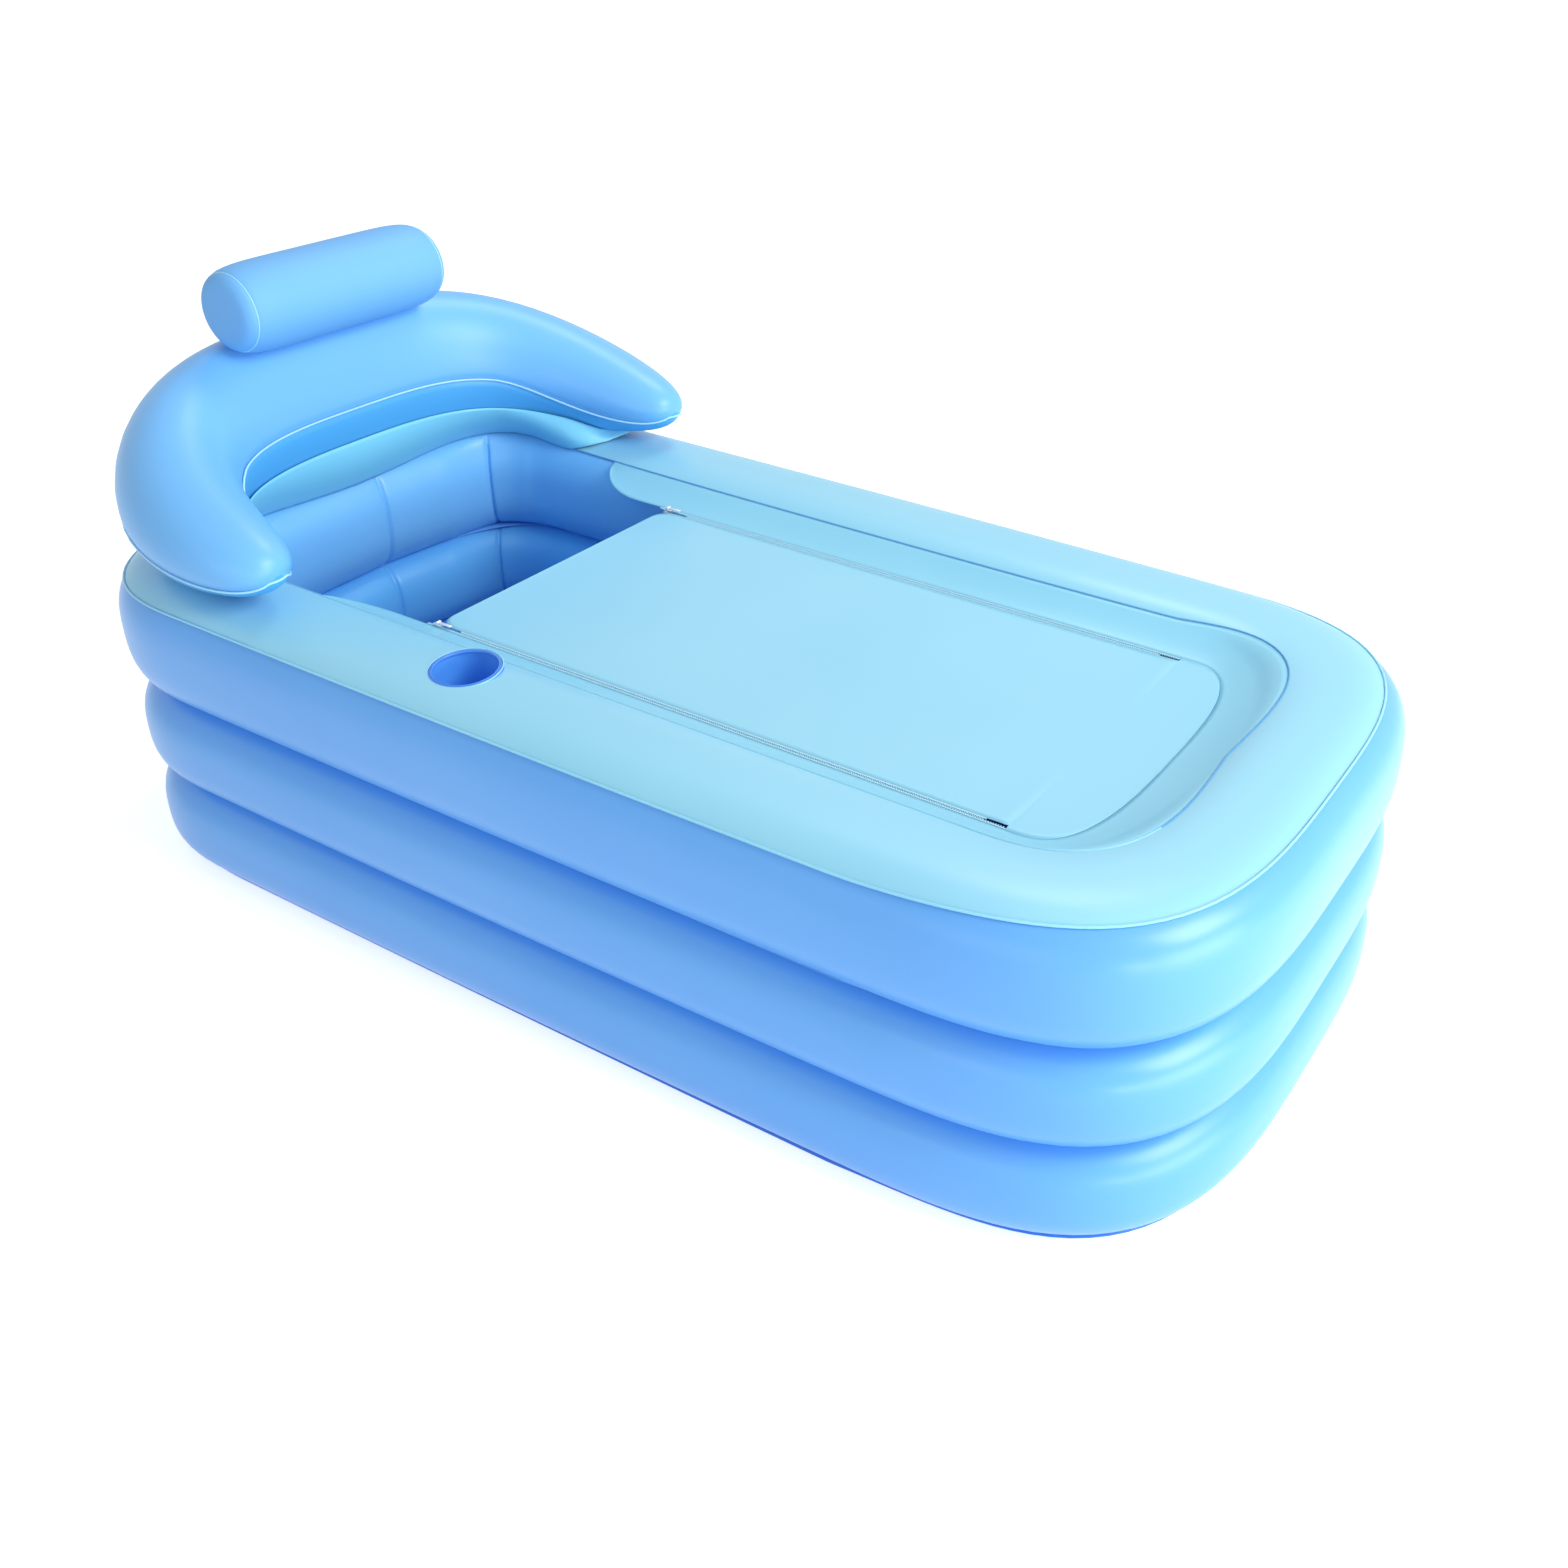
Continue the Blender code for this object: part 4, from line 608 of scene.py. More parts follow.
print("cup holder at", [round(c, 3) for c in cup_frame().translation])

# %% The rings
CUP_CLEAR = 0.004
lower_ring = air_ring("lower_air_ring", LOWER_Z, LOWER_Z + LOWER, True, 1.0)
middle_ring = air_ring("middle_air_ring", MIDDLE_Z, MIDDLE_Z + MIDDLE, True, 2.0)
upper_ring = cut_round(air_ring("upper_air_ring", UPPER_Z, RIM_Z, False, 3.0), CUP_HOLE,
                       CUP_DEPTH + CUP_CLEAR)


def paint_inside_glow(ring, material):
    """the bath's side gets a brighter film, a painted glow for light through the film; the grid's second
    direction runs round the section
    """
    ring.data.materials.append(material)
    places = ring.data.uv_layers["film"].data
    for face in ring.data.polygons:
        rounds = [places[k].uv.y for k in face.loop_indices]
        face.material_index = int(0.25 < sum(rounds) / len(rounds) < 0.75)


# the bath's side of each ring is painted brighter, as a glow of light through the film
for ring, node, inside in ((lower_ring, "lower_ring", inner_glow_painted_vinyl),
                           (middle_ring, "middle_ring", inner_glow_painted_vinyl),
                           (upper_ring, "upper_ring", inner_glow_painted_sky)):
    dress(ring, wall_vinyl, "tub", node)
    paint_inside_glow(ring, inside)
print("ring faces:", [len(r.data.polygons) for r in (lower_ring, middle_ring, upper_ring)])

# %% [markdown]
# ## Welded webs and the base sheet
# Between two rings lies the welded web, two films pressed into one. The base sheet is a flat film under
# the lowest ring, a little smaller than the tub, with a hole for the drain.

# %% Webs
WEB_INSET = 0.034                   # from the wall's outside and from its inside


def web(name, height, inset, thickness):
    """a flat film between two lines that follow the wall's outside and inside"""
    def place(station, share):
        wide = half_wall(station) - inset
        return wall_point(station, wide - 2 * wide * share, height)
    return skin(name, stations, [k / 6 for k in range(7)], place, thickness, 0.0)


for name, z, node in (("lower_welded_web", MIDDLE_Z, "weld_band_lower"),
                      ("upper_welded_web", UPPER_Z, "weld_band_upper")):
    dress(web(name, z - SEAT - WELD_WEB / 2, WEB_INSET, WELD_WEB), wall_vinyl, "tub", node)
print("welds between the rings at", round(MIDDLE_Z, 3), "and", round(UPPER_Z, 3), "m")

# %% Base sheet
DRAIN_X, DRAIN_BORE, BASE_INSET = 0.400, 0.0160, 0.024


def base_sheet():
    """rings of points from the drain hole out to the sheet's edge"""
    def place(station, share):
        edge = wall_point(station, half_wall(station) - BASE_INSET, BASE_FILM)
        way = Vector((edge.x - DRAIN_X - SHIFT_X, edge.y, 0.0))
        hole = Vector((DRAIN_X + SHIFT_X, 0.0, BASE_FILM)) + way.normalized() * DRAIN_BORE
        return hole.lerp(edge, share)
    shares = [0.0, 0.02, 0.05, 0.1, 0.2, 0.35, 0.5, 0.65, 0.8, 0.9, 0.96, 1.0]
    return skin("base_film", stations, shares, place, BASE_FILM)


floor_film = base_sheet()
dress(floor_film, deep_vinyl, "tub", "base_sheet")
print("base sheet faces:", len(floor_film.data.polygons))

# %% [markdown]
# ## The rim cover
# A pale film is welded over the upper ring. It starts at an outer weld, runs over the crest and ends at
# the inner weld, where the fixed strip begins. The outer weld climbs a little round the foot end, as it
# does on the real tub, because the flat film is pulled round a curve there.

# %% Rim cover and its weld
COVER_FILM = 0.0012
RING_CENTRE, RING_HALF = ring_levels(UPPER_Z, RIM_Z, False)
SEAM_ANGLE, SEAM_LIFT = math.radians(45), math.radians(14)
INNER_ANGLE, HEAD_LIFT, FOOT_LIFT = (math.radians(a) for a in (130, 18, 19))
SEAM_ROUND, SEAM_BEAD, RIM_PUCKER = 2.6, 0.0016, 0.0010
FOOT_CORNERS, HEAD_CORNERS = (15.5, 13), (19.5, 11)     # stations from an end's nose, and reach


def seam_angle(station):
    """where the outer weld lies in the ring's section"""
    s, last = from_foot(station), CAP_POINTS - 1
    if s > last:
        return SEAM_ANGLE
    return SEAM_ANGLE + SEAM_LIFT * math.cos(math.pi / 2 * (s / last) ** SEAM_ROUND) ** 2


def inner_angle(station):
    """the inner weld runs nearer the crest on all four corners, where the film is pulled straight"""
    s = from_foot(station)
    foot = (s - FOOT_CORNERS[0]) / FOOT_CORNERS[1]
    head = (ROUND / 2 - s - HEAD_CORNERS[0]) / HEAD_CORNERS[1]
    return INNER_ANGLE - FOOT_LIFT * math.exp(-foot ** 2) - HEAD_LIFT * math.exp(-head ** 2)


def rim_cover():
    """the film from the outer weld over the crest to the inner weld, with the cup's hole"""
    def place(station, share):
        start = seam_angle(station)
        angle = start + (inner_angle(station) - start) * share
        u, v = section(angle, half_wall(station), RING_HALF, SEAT + COVER_FILM)
        fold = pucker(station, max(0.0, 1 - share * 5) ** 2, RIM_PUCKER, 5.0)
        return wall_point(station, u + fold * 0.5, RING_CENTRE + v - abs(fold))
    cover = skin("rim_film", stations, [k / 32 for k in range(33)], place, COVER_FILM)
    return cut_round(cover, CUP_HOLE, 0.03)


cover = rim_cover()
dress(cover, pale_vinyl, "tub", "rim_cover")


def along_seam(station, lift):
    """a point of the outer weld, moved by lift down the film"""
    a = seam_angle(station)
    u, v = section(a, half_wall(station), RING_HALF, SEAT + SEAM_BEAD)
    du, dv = section(a - math.radians(1), half_wall(station), RING_HALF, SEAT + SEAM_BEAD)
    back = lift / math.hypot(du - u, dv - v)
    return wall_point(station, u + (du - u) * back, RING_CENTRE + v + (dv - v) * back)


seam = bead("rim_weld_bead", [along_seam(s, SEAM_BEAD + SEAT) for s in stations[:-1]], SEAM_BEAD, True)
dress(seam, weld_vinyl, "tub", "rim_seam")
print("rim cover faces:", len(cover.data.polygons))

# %% [markdown]
# ## The cup holder
# A thick ring is welded round a hole in the rim, and a pocket of blue film hangs in it. Both are turned
# shapes: a profile of a few vertices is spun round the cup's axis. The ring has a thin skirt, so that no
# gap shows where the rim falls away from it, and its welds are two fine beads.

# %% Turned pieces


def turned(name, profile, matrix, steps=72):
    """a profile of (radius, height) spun round Z and then placed"""
    bm = bmesh.new()
    verts = [bm.verts.new((r, 0.0, z)) for r, z in profile]
    edges = [bm.edges.new(pair) for pair in zip(verts, verts[1:])]
    bmesh.ops.spin(bm, geom=verts + edges, cent=(0, 0, 0), axis=(0, 0, 1), angle=2 * math.pi,
                   steps=steps, use_merge=True)
    bmesh.ops.remove_doubles(bm, verts=bm.verts, dist=0.00001)
    bmesh.ops.recalc_face_normals(bm, faces=bm.faces)
    piece = finished(name, bm)
    piece.data.transform(matrix)
    piece.data.set_sharp_from_angle(angle=math.radians(38))
    return piece


def raised(profile, level):
    """the same profile, lifted to a level"""
    return [(r, z + level) for r, z in profile]


def circle(radius, steps=96):
    """points of a circle round the origin"""
    angles = [2 * math.pi * k / steps for k in range(steps)]
    return [(radius * math.cos(a), radius * math.sin(a)) for a in angles]


def rounded(profile, radius, steps=4):
    """the same closed profile with its corners rounded"""
    points = [Vector(p) for p in profile]
    out = []
    for i, p in enumerate(points):
        a, b = points[i - 1] - p, points[(i + 1) % len(points)] - p
        r = min(radius, a.length * 0.45, b.length * 0.45)
        start, end = p + a.normalized() * r, p + b.normalized() * r
        for k in range(steps + 1):
            t = k / steps
            out.append(tuple(start.lerp(p, t).lerp(p.lerp(end, t), t)))
    return out + out[:1]


print("points of a circle:", len(circle(CUP_RADIUS)))

# %% Cup ring and pocket
HALF_RING, RING_SKIRT, CUP_FILM = 0.0016, 0.0140, 0.0012
CUP_LINE, POCKET_FOOT, POCKET_ROUND = 0.0008, 0.0400, 0.0080
cup_ring = turned("cup_welded_ring", rounded([
    (CUP_OPENING, -HALF_RING), (CUP_OPENING, HALF_RING), (CUP_RADIUS, HALF_RING * 0.9),
    (CUP_RADIUS, -RING_SKIRT), (CUP_RADIUS - CUP_FILM, -RING_SKIRT),
    (CUP_RADIUS - CUP_FILM, -HALF_RING)], 0.0014), cup_frame())
dress(cup_ring, ring_vinyl, "tub", "cup_ring")
for name, radius in (("cup_outer_weld_line", CUP_RADIUS + 0.0006),
                     ("cup_inner_weld_line", CUP_OPENING + 0.0012)):
    points = [cup_frame() @ Vector((x, y, HALF_RING)) for x, y in circle(radius)]
    line = bead(name, points, CUP_LINE, True)
    dress(line, weld_vinyl if radius > CUP_RADIUS else ring_vinyl, "tub")
top, inside = -HALF_RING - SEAT, POCKET_FOOT - CUP_FILM
cup_pocket = turned("cup_pocket_film", [
    (0.0, -CUP_DEPTH + CUP_FILM), (inside - POCKET_ROUND, -CUP_DEPTH + CUP_FILM),
    (inside - 0.002, -CUP_DEPTH + CUP_FILM + 0.002), (inside, -CUP_DEPTH + CUP_FILM + POCKET_ROUND),
    (CUP_RADIUS - CUP_FILM, top), (CUP_RADIUS, top), (POCKET_FOOT, -CUP_DEPTH + 0.007),
    (POCKET_FOOT - 0.002, -CUP_DEPTH + 0.002), (POCKET_FOOT - POCKET_ROUND, -CUP_DEPTH),
    (0.0, -CUP_DEPTH)], cup_frame())
dress(cup_pocket, cup_vinyl, "tub", "cup_pocket")
print("cup opening:", 2000 * CUP_OPENING, "mm wide and", 1000 * CUP_DEPTH, "mm deep")

# %% [markdown]
# ## The strip and the cover panel
# Along the rim's inner weld hangs a strip of the pale film, drawn a little darker as painted shade on its
# slope. The zip joins it to the panel. The strip dips from the rim in a soft curve, and its head ends are
# cut in a sweep. The panel is a sheet with rounded corners, held taut by both zips, so it shows only long
# shallow waves.

# %% Strip edges
STRIP_FILM, COVER_LEVEL = 0.0010, 0.3720
PANEL_HEAD, PANEL_FOOT, PANEL_CORNER, FOOT_CORNER = -0.302, 0.5865, 0.024, 0.085
ZIP_LINE, ZIP_GAP, ZIP_ROW = 0.2180, 0.0016, 0.0030
STRIP_HEAD, FILLET = -0.440, 0.080
SWEEP_ROUND, SWEEP_TAKEN, DIP_ROUND, DIP_EASED = 0.7, 0.94, 1.5, 0.25
SIDE_STEPS, SWEEP_STEPS = 40, 16
STRIP_EDGE = ZIP_LINE + ZIP_GAP / 2 + ZIP_ROW + SEAT + STRIP_FILM / 3
STRIP_FOOT = PANEL_FOOT - 0.0003


def rim_inner(station):
    """the rim's inner weld, where the strip starts"""
    u, v = section(inner_angle(station), half_wall(station), RING_HALF, SEAT + COVER_FILM / 2)
    return wall_point(station, u - SEAT - STRIP_FILM / 2, RING_CENTRE + v)


strip_plan = plan(-LENGTH / 2, STRIP_FOOT, STRIP_EDGE, (INNER_HEAD_CAP, INNER_ROUND),
                  (FOOT_CORNER, INNER_ROUND))
inner_line = [rim_inner(s) for s in range(ROUND // 2 + 1)]


def rim_inner_at(x):
    """the inner weld of the far long side at a length x"""
    for p, q in zip(inner_line, inner_line[1:]):
        if q.x <= x <= p.x and p.y > ZIP_LINE:
            return p.lerp(q, (p.x - x) / (p.x - q.x))
    return inner_line[-1]


def strip_stations():
    """pairs of (rim edge, zip edge) from the foot's nose along +Y to the strip's head end"""
    last = CAP_POINTS - 1
    pairs = [(inner_line[i], Vector((strip_plan[i][0] + SHIFT_X, strip_plan[i][1], COVER_LEVEL)))
             for i in range(last + 1)]
    start = pairs[-1][0].x
    head, sweep = STRIP_HEAD + SHIFT_X, STRIP_HEAD + SHIFT_X + FILLET
    xs = [start + (sweep - start) * k / SIDE_STEPS for k in range(1, SIDE_STEPS + 1)]
    xs += [sweep + (head - sweep) * (k / SWEEP_STEPS) ** SWEEP_ROUND for k in range(1, SWEEP_STEPS + 1)]
    for x in xs:
        edge = rim_inner_at(x)
        low = Vector((x, STRIP_EDGE, COVER_LEVEL))
        if x < sweep:
            drawn = 1 - math.sqrt(max(0.0, 1 - ((sweep - x) / (sweep - head)) ** 2))
            low = low.lerp(edge, min(drawn, SWEEP_TAKEN))
        pairs.append((edge, low))
    return pairs


print("zip edge of the strip:", round(STRIP_EDGE, 4), "m from the middle")

# %% Strip skin
half_strip = strip_stations()
mirrored = Vector((1.0, -1.0, 1.0))
strip_pairs = [(edge * mirrored, low * mirrored) for edge, low in reversed(half_strip[1:])] + half_strip


def off_ring(point, station):
    """the point moved out of the upper ring, where the way from its weld to the zip would cut it"""
    centre = wall_point(station, 0.0, RING_CENTRE)
    out = point - centre
    slope = math.atan2(out.z, math.hypot(out.x, out.y))
    wide = half_wall(station)
    ring = [section(math.radians(a), wide, RING_HALF, SEAT + STRIP_FILM) for a in range(95, 181)]
    u, v = min(ring, key=lambda uv: abs(math.atan2(uv[1], -uv[0]) - slope))
    return centre + out * max(1.0, math.hypot(u, v) / out.length)


def strip_place(index, share):
    """a point between the rim's weld and the zip; the film sags a little on the way"""
    edge, low = strip_pairs[int(index)]
    point = edge.lerp(low, share)
    dip = 1 - (1 - share) ** DIP_ROUND
    point.z = edge.z + (low.z - edge.z) * (dip + (share - dip) * DIP_EASED)
    station = int(index) - len(half_strip) + 1
    if 0.0 < share < 0.95 and abs(station) < CAP_POINTS:
        point = off_ring(point, station)
    return point


strip = skin("cover_strip_film", list(range(len(strip_pairs))), [k / 10 for k in range(11)],
             strip_place, STRIP_FILM, 0.0)
dress(strip, strip_painted_shade_vinyl, "tub", "cover_strip")
print("strip stations:", len(strip_pairs))

# %% Inner weld line
INNER_LINE, NEAR_LINE_END = 0.0011, -0.180
inner_points = [rim_inner(s) + Vector((0.0, 0.0, 0.0006)) for s in stations[:-1]]
# a dark bead along the rim's inner weld: painted shade of the crevice between the rim film and the strip
inner_bead = bead("rim_inner_weld_shade_line", inner_points, INNER_LINE, True)
dress(inner_bead, crevice_shade_line_vinyl, "tub")
inner_bead.data.materials.append(pale_vinyl)
for face in inner_bead.data.polygons:
    face.material_index = int(face.center.y < NEAR_LINE_END)    # the near side's line takes the pale film, with no painted crevice shade
print("inner weld line points:", len(inner_points))

# %% Cover panel
PANEL_SIDE = ZIP_LINE - ZIP_GAP / 2 - ZIP_ROW - SEAT
ZIP_FOOT, FOLD_LINE = 0.5000, 0.5012
PANEL_OVER, PANEL_RAISED, RAISE_LENGTH = 0.0012, 0.0008, 0.040      # where it overlaps the strip
PANEL_SAG, PANEL_WAVE, BEND_LENGTH = 0.0045, 0.0016, 0.045


def panel_half_width(x):
    """half width of the panel at x: round corners at its free edge, and past the ends of the zips as
    wide as the strip's opening"""
    from_head, from_foot = x - PANEL_HEAD, PANEL_FOOT - x
    if from_head < PANEL_CORNER:
        return PANEL_SIDE - PANEL_CORNER + math.sqrt(
            max(0.0, PANEL_CORNER ** 2 - (PANEL_CORNER - from_head) ** 2))
    if x < ZIP_FOOT:
        return PANEL_SIDE
    over = STRIP_EDGE + PANEL_OVER
    if from_foot < FOOT_CORNER:
        return over * max(0.0, 1 - (1 - from_foot / FOOT_CORNER) ** 3.0) ** (1 / 3.0)
    return over


def panel_place(x, share):
    """a point of the panel, which sags a little between the zips and has long shallow waves"""
    y = panel_half_width(x) * share
    along = (x - PANEL_HEAD) / (PANEL_FOOT - PANEL_HEAD)
    slack = math.sin(math.pi * clamped(along)) ** 0.5 * (1 - share ** 2)
    wave = noise.noise(Vector((x * 3.1, y * 5.3, 4.0)))
    wave += 0.5 * noise.noise(Vector((x * 7.0, y * 4.0, 9.0)))
    over = PANEL_RAISED * clamped((x - ZIP_FOOT + RAISE_LENGTH) / RAISE_LENGTH)
    height = COVER_LEVEL + over - PANEL_SAG * slack + PANEL_WAVE * slack * wave
    return Vector((x + SHIFT_X, y, height))


corner_end, zip_end = PANEL_HEAD + PANEL_CORNER, ZIP_FOOT - 0.0002
xs = [PANEL_HEAD + PANEL_CORNER * (1 - math.cos(math.pi / 2 * k / 10)) for k in range(11)]
xs += [corner_end + (zip_end - corner_end) * k / 70 for k in range(1, 71)]
xs += [ZIP_FOOT + 0.0001, ZIP_FOOT + 0.0004]           # two close columns where it grows wider
xs += [PANEL_FOOT - FOOT_CORNER * (1 - math.sin(math.pi / 2 * k / 24)) for k in range(1, 24)]
xs += [PANEL_FOOT - FOOT_CORNER * 0.0008]
panel = skin("cover_panel_film", xs, [k / 24 - 1 for k in range(49)], panel_place, STRIP_FILM, 0.0)
panel.data.materials.append(pale_vinyl)
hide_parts("cover_panel", "cover_foot")
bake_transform(panel)
print("panel faces:", len(panel.data.polygons))

# %% [markdown]
# ## The zips
# A moulded zip is two rows of teeth on a tape edge. One tooth is a small tapered block with six faces,
# repeated at a pitch of 3 mm, and the rows of one zip are half a pitch apart so that the teeth mesh. The
# teeth are acetal in the film's own pale colour. The sliders are cast in zinc and plated. Their colour is
# near white and only half metallic, a painted sheen that stands in for bright reflections in the plating,
# so that they look like pale satin silver.

# %% Zip materials
moulded_teeth = calendered_film("pale_acetal_teeth", "#B2E2F3", "#AADCF0", roughness=0.42, wave_mm=9.0,
                                wave_depth=0.00005)
zinc_painted_sheen = new_material("plated_zinc_painted_sheen")
zinc_place = add(zinc_painted_sheen, "ShaderNodeTexCoord")
zinc_noise = add(zinc_painted_sheen, "ShaderNodeTexNoise", {"Vector": zinc_place.outputs["Object"], "Scale": 400.0})
zinc_gloss = add(zinc_painted_sheen, "ShaderNodeMapRange", {"Value": zinc_noise.outputs["Fac"], "To Min": 0.22,
                                                   "To Max": 0.38})
# near-white base and half metallic: painted sheen in place of the plating's bright reflections
zinc_shader = add(zinc_painted_sheen, "ShaderNodeBsdfPrincipled",
                  {"Base Color": tone("#F4F6F8"), "Metallic": 0.45, "Roughness": zinc_gloss.outputs[0]})
add(zinc_painted_sheen, "ShaderNodeOutputMaterial", {"Surface": zinc_shader.outputs[0]})
print("zip materials:", moulded_teeth.name, "and", zinc_painted_sheen.name)

# %% Zip rows
TOOTH_PITCH, TOOTH, TOOTH_TAPER = 0.0030, (0.0017, 0.0026, 0.0020), 0.62
TAPE_WIDTH, TAPE_THICK, TOOTH_REACH = ZIP_ROW * 0.62, 0.0016, 0.0009
ROW_HEAD, PANEL_ROW_HEAD, PANEL_ROW_FOOT = PANEL_HEAD - 0.010, PANEL_HEAD + 0.040, 0.474


def zip_row(name, start, end, y, towards, phase):
    """a tape edge with its teeth; towards is the side on which the other row lies"""
    bm = bmesh.new()
    length = end - start
    spine = bmesh.ops.create_cube(bm, size=1.0)["verts"]
    bmesh.ops.scale(bm, vec=(length, TAPE_WIDTH, TAPE_THICK), verts=spine)
    bmesh.ops.translate(bm, vec=((start + end) / 2 + SHIFT_X, y - towards * ZIP_ROW * 0.19, COVER_LEVEL),
                        verts=spine)
    for k in range(int(length / TOOTH_PITCH)):
        x = start + TOOTH_PITCH * (k + phase)
        if x > end - TOOTH[0]:
            break
        tooth = bmesh.ops.create_cube(bm, size=1.0)["verts"]
        bmesh.ops.scale(bm, vec=TOOTH, verts=tooth)
        for v in tooth:
            if v.co.y * towards > 0:
                v.co.x *= TOOTH_TAPER
        reach = towards * (ZIP_ROW - TOOTH[1] + TOOTH_REACH) / 2
        bmesh.ops.translate(bm, vec=(x + SHIFT_X, y + reach, COVER_LEVEL), verts=tooth)
    row = finished(name, bm)
    row.data.set_sharp_from_angle(angle=math.radians(30))
    return row


for side, tag in ((-1, "near"), (1, "far")):
    strip_y = side * (ZIP_LINE + ZIP_GAP / 2 + ZIP_ROW / 2)
    panel_y = side * (ZIP_LINE - ZIP_GAP / 2 - ZIP_ROW / 2)
    row = zip_row("zip_teeth_" + tag + "_on_strip", ROW_HEAD, ZIP_FOOT, strip_y, -side, 0.5)
    dress(row, moulded_teeth, "tub", "zip_row_" + tag + "_strip")
    row = zip_row("zip_teeth_" + tag + "_on_panel", PANEL_ROW_HEAD, PANEL_ROW_FOOT, panel_y, side, 1.0)
    dress(row, moulded_teeth, "cover", "zip_row_" + tag + "_panel")
print("teeth in a row on the strip:", int((ZIP_FOOT - ROW_HEAD) / TOOTH_PITCH))

# %% [markdown]
# ## Zip sliders and pulls
# A cast slider is two plates joined by a wedge, with a small bridge that holds the pull. The CAD blocks
# give the clearances, and this version has the waist, the rounded edges and the eye of the real one.

# %% Sliders and pulls
SLIDER_REST = -0.296
SLIDER = (0.0140, 0.0076, 0.0014)   # length, width and thickness of a plate
PLATE_GAP = 0.0016                  # half the room between the plates
SLIDER_WAIST = 0.25
PIN_RISE, PIN_RADIUS, LUG_Y = 0.0020, 0.0006, 0.0029
TAB_WIDTH, TAB_EYE = 0.0042, 0.00155


def block(size, centre, width):
    """a small block with rounded edges, as a bmesh"""
    bm = bmesh.new()
    bmesh.ops.create_cube(bm, size=1.0)
    bmesh.ops.scale(bm, vec=size, verts=bm.verts)
    bmesh.ops.bevel(bm, geom=bm.edges[:], offset=width, offset_type="OFFSET", segments=3,
                    profile=0.5, affect="EDGES", material=-1)
    bmesh.ops.translate(bm, vec=centre, verts=bm.verts)
    return bm


def merged(name, blocks, place):
    """several closed shells in one object"""
    whole = bmesh.new()
    for bm in blocks:
        part = mesh_of("part", bm)
        whole.from_mesh(part)
        bpy.data.meshes.remove(part)
    bmesh.ops.translate(whole, vec=place, verts=whole.verts)
    piece = finished(name, whole)
    piece.data.set_sharp_from_angle(angle=math.radians(40))
    return piece


def pin(radius, length, centre):
    """a short round bar across the zip"""
    bm = bmesh.new()
    bmesh.ops.create_cone(bm, cap_ends=True, segments=20, radius1=radius, radius2=radius, depth=length)
    bmesh.ops.rotate(bm, matrix=Matrix.Rotation(math.pi / 2, 3, "X"), verts=bm.verts)
    bmesh.ops.translate(bm, vec=centre, verts=bm.verts)
    return bm


def waisted(bm, amount):
    """narrows a plate towards its foot end, where the rows run out together"""
    for v in bm.verts:
        share = clamped(v.co.x / SLIDER[0] + 0.5)
        v.co.y *= 1 - amount * share ** 2
    return bm


for side, tag in ((-1, "near"), (1, "far")):
    home = (SLIDER_REST + SHIFT_X, side * ZIP_LINE, COVER_LEVEL)
    plate_z = PLATE_GAP + SLIDER[2] / 2
    pin_z = PLATE_GAP + SLIDER[2] + PIN_RISE
    blocks = [waisted(block(SLIDER, (0, 0, plate_z), 0.0005), SLIDER_WAIST),
              waisted(block(SLIDER, (0, 0, -plate_z), 0.0005), SLIDER_WAIST),
              block((0.0050, 0.0010, 2 * plate_z), (-0.0041, 0, 0), 0.0003)]
    blocks += [block((0.0040, 0.0010, 0.0040), (0, k * LUG_Y, plate_z + 0.0022), 0.0004) for k in (-1, 1)]
    blocks += [pin(PIN_RADIUS, 2 * LUG_Y, (0, 0, pin_z))]
    slider = merged("slider_" + tag + "_cast", blocks, home)
    dress(slider, zinc_painted_sheen, "slider_" + tag, "zip_slider_" + tag)
    tab = [block((0.0170, TAB_WIDTH, 0.0013), (0.0128, 0, 0), 0.0005),
           pin(TAB_EYE, TAB_WIDTH, (0, 0, 0)),
           block((0.0050, 0.0026, 0.0013), (0.0026, 0, 0), 0.0004)]
    pull = merged("pull_" + tag + "_cast", tab, (home[0], home[1], home[2] + pin_z))
    dress(pull, zinc_painted_sheen, "pull_" + tag, "zip_pull_" + tag)
print("slider faces:", len(slider.data.polygons), "pull faces:", len(pull.data.polygons))

# %% [markdown]
# ## The backrest
# The crescent is one air chamber: two panels of film welded along their edges. Its section is a flattened
# superellipse that grows from the arm tips to the middle, and its underside lies flat on the rim. The
# weld draws the film in a little, and a bright bead runs all the way round.

# %% Backrest path
BACK_TIP_X, BACK_REACH, BACK_SPREAD = -0.3913, 0.3208, 0.3495
BACK_FLOOR, BACK_SINK = RIM_Z + 2 * SEAT + COVER_FILM, 0.0055
BACK_WIDTH, BACK_HEIGHT, BACK_TIP = (0.0750, 0.0690), (0.0613, 0.1145), 0.3000
BACK_SEAM_IN, BACK_SEAM_OUT, BACK_SEAM_DROP = (math.radians(a) for a in (181.8, -9.6, 34))
BACK_SKEW = 0.0085                  # the near arm is a little shorter than the far one
BACK_PLAN_ROUND, BACK_ROUND, BACK_GROWTH, NOSE_ROUND = 2.986, 1.95, 1.058, 2.5
BACK_DRAWN, DRAWN_REACH = 0.0022, 0.006     # how deep and how far the weld draws the film in


def back_place(t):
    """the crescent's middle line; t runs from 0 at the near arm's tip to 1 at the far one's"""
    s, c = math.sin(math.pi * t), math.cos(math.pi * t)
    return (BACK_TIP_X - BACK_REACH * abs(s) ** (2 / BACK_PLAN_ROUND) - BACK_SKEW * c * abs(c),
            -BACK_SPREAD * power(c, 2 / BACK_PLAN_ROUND))


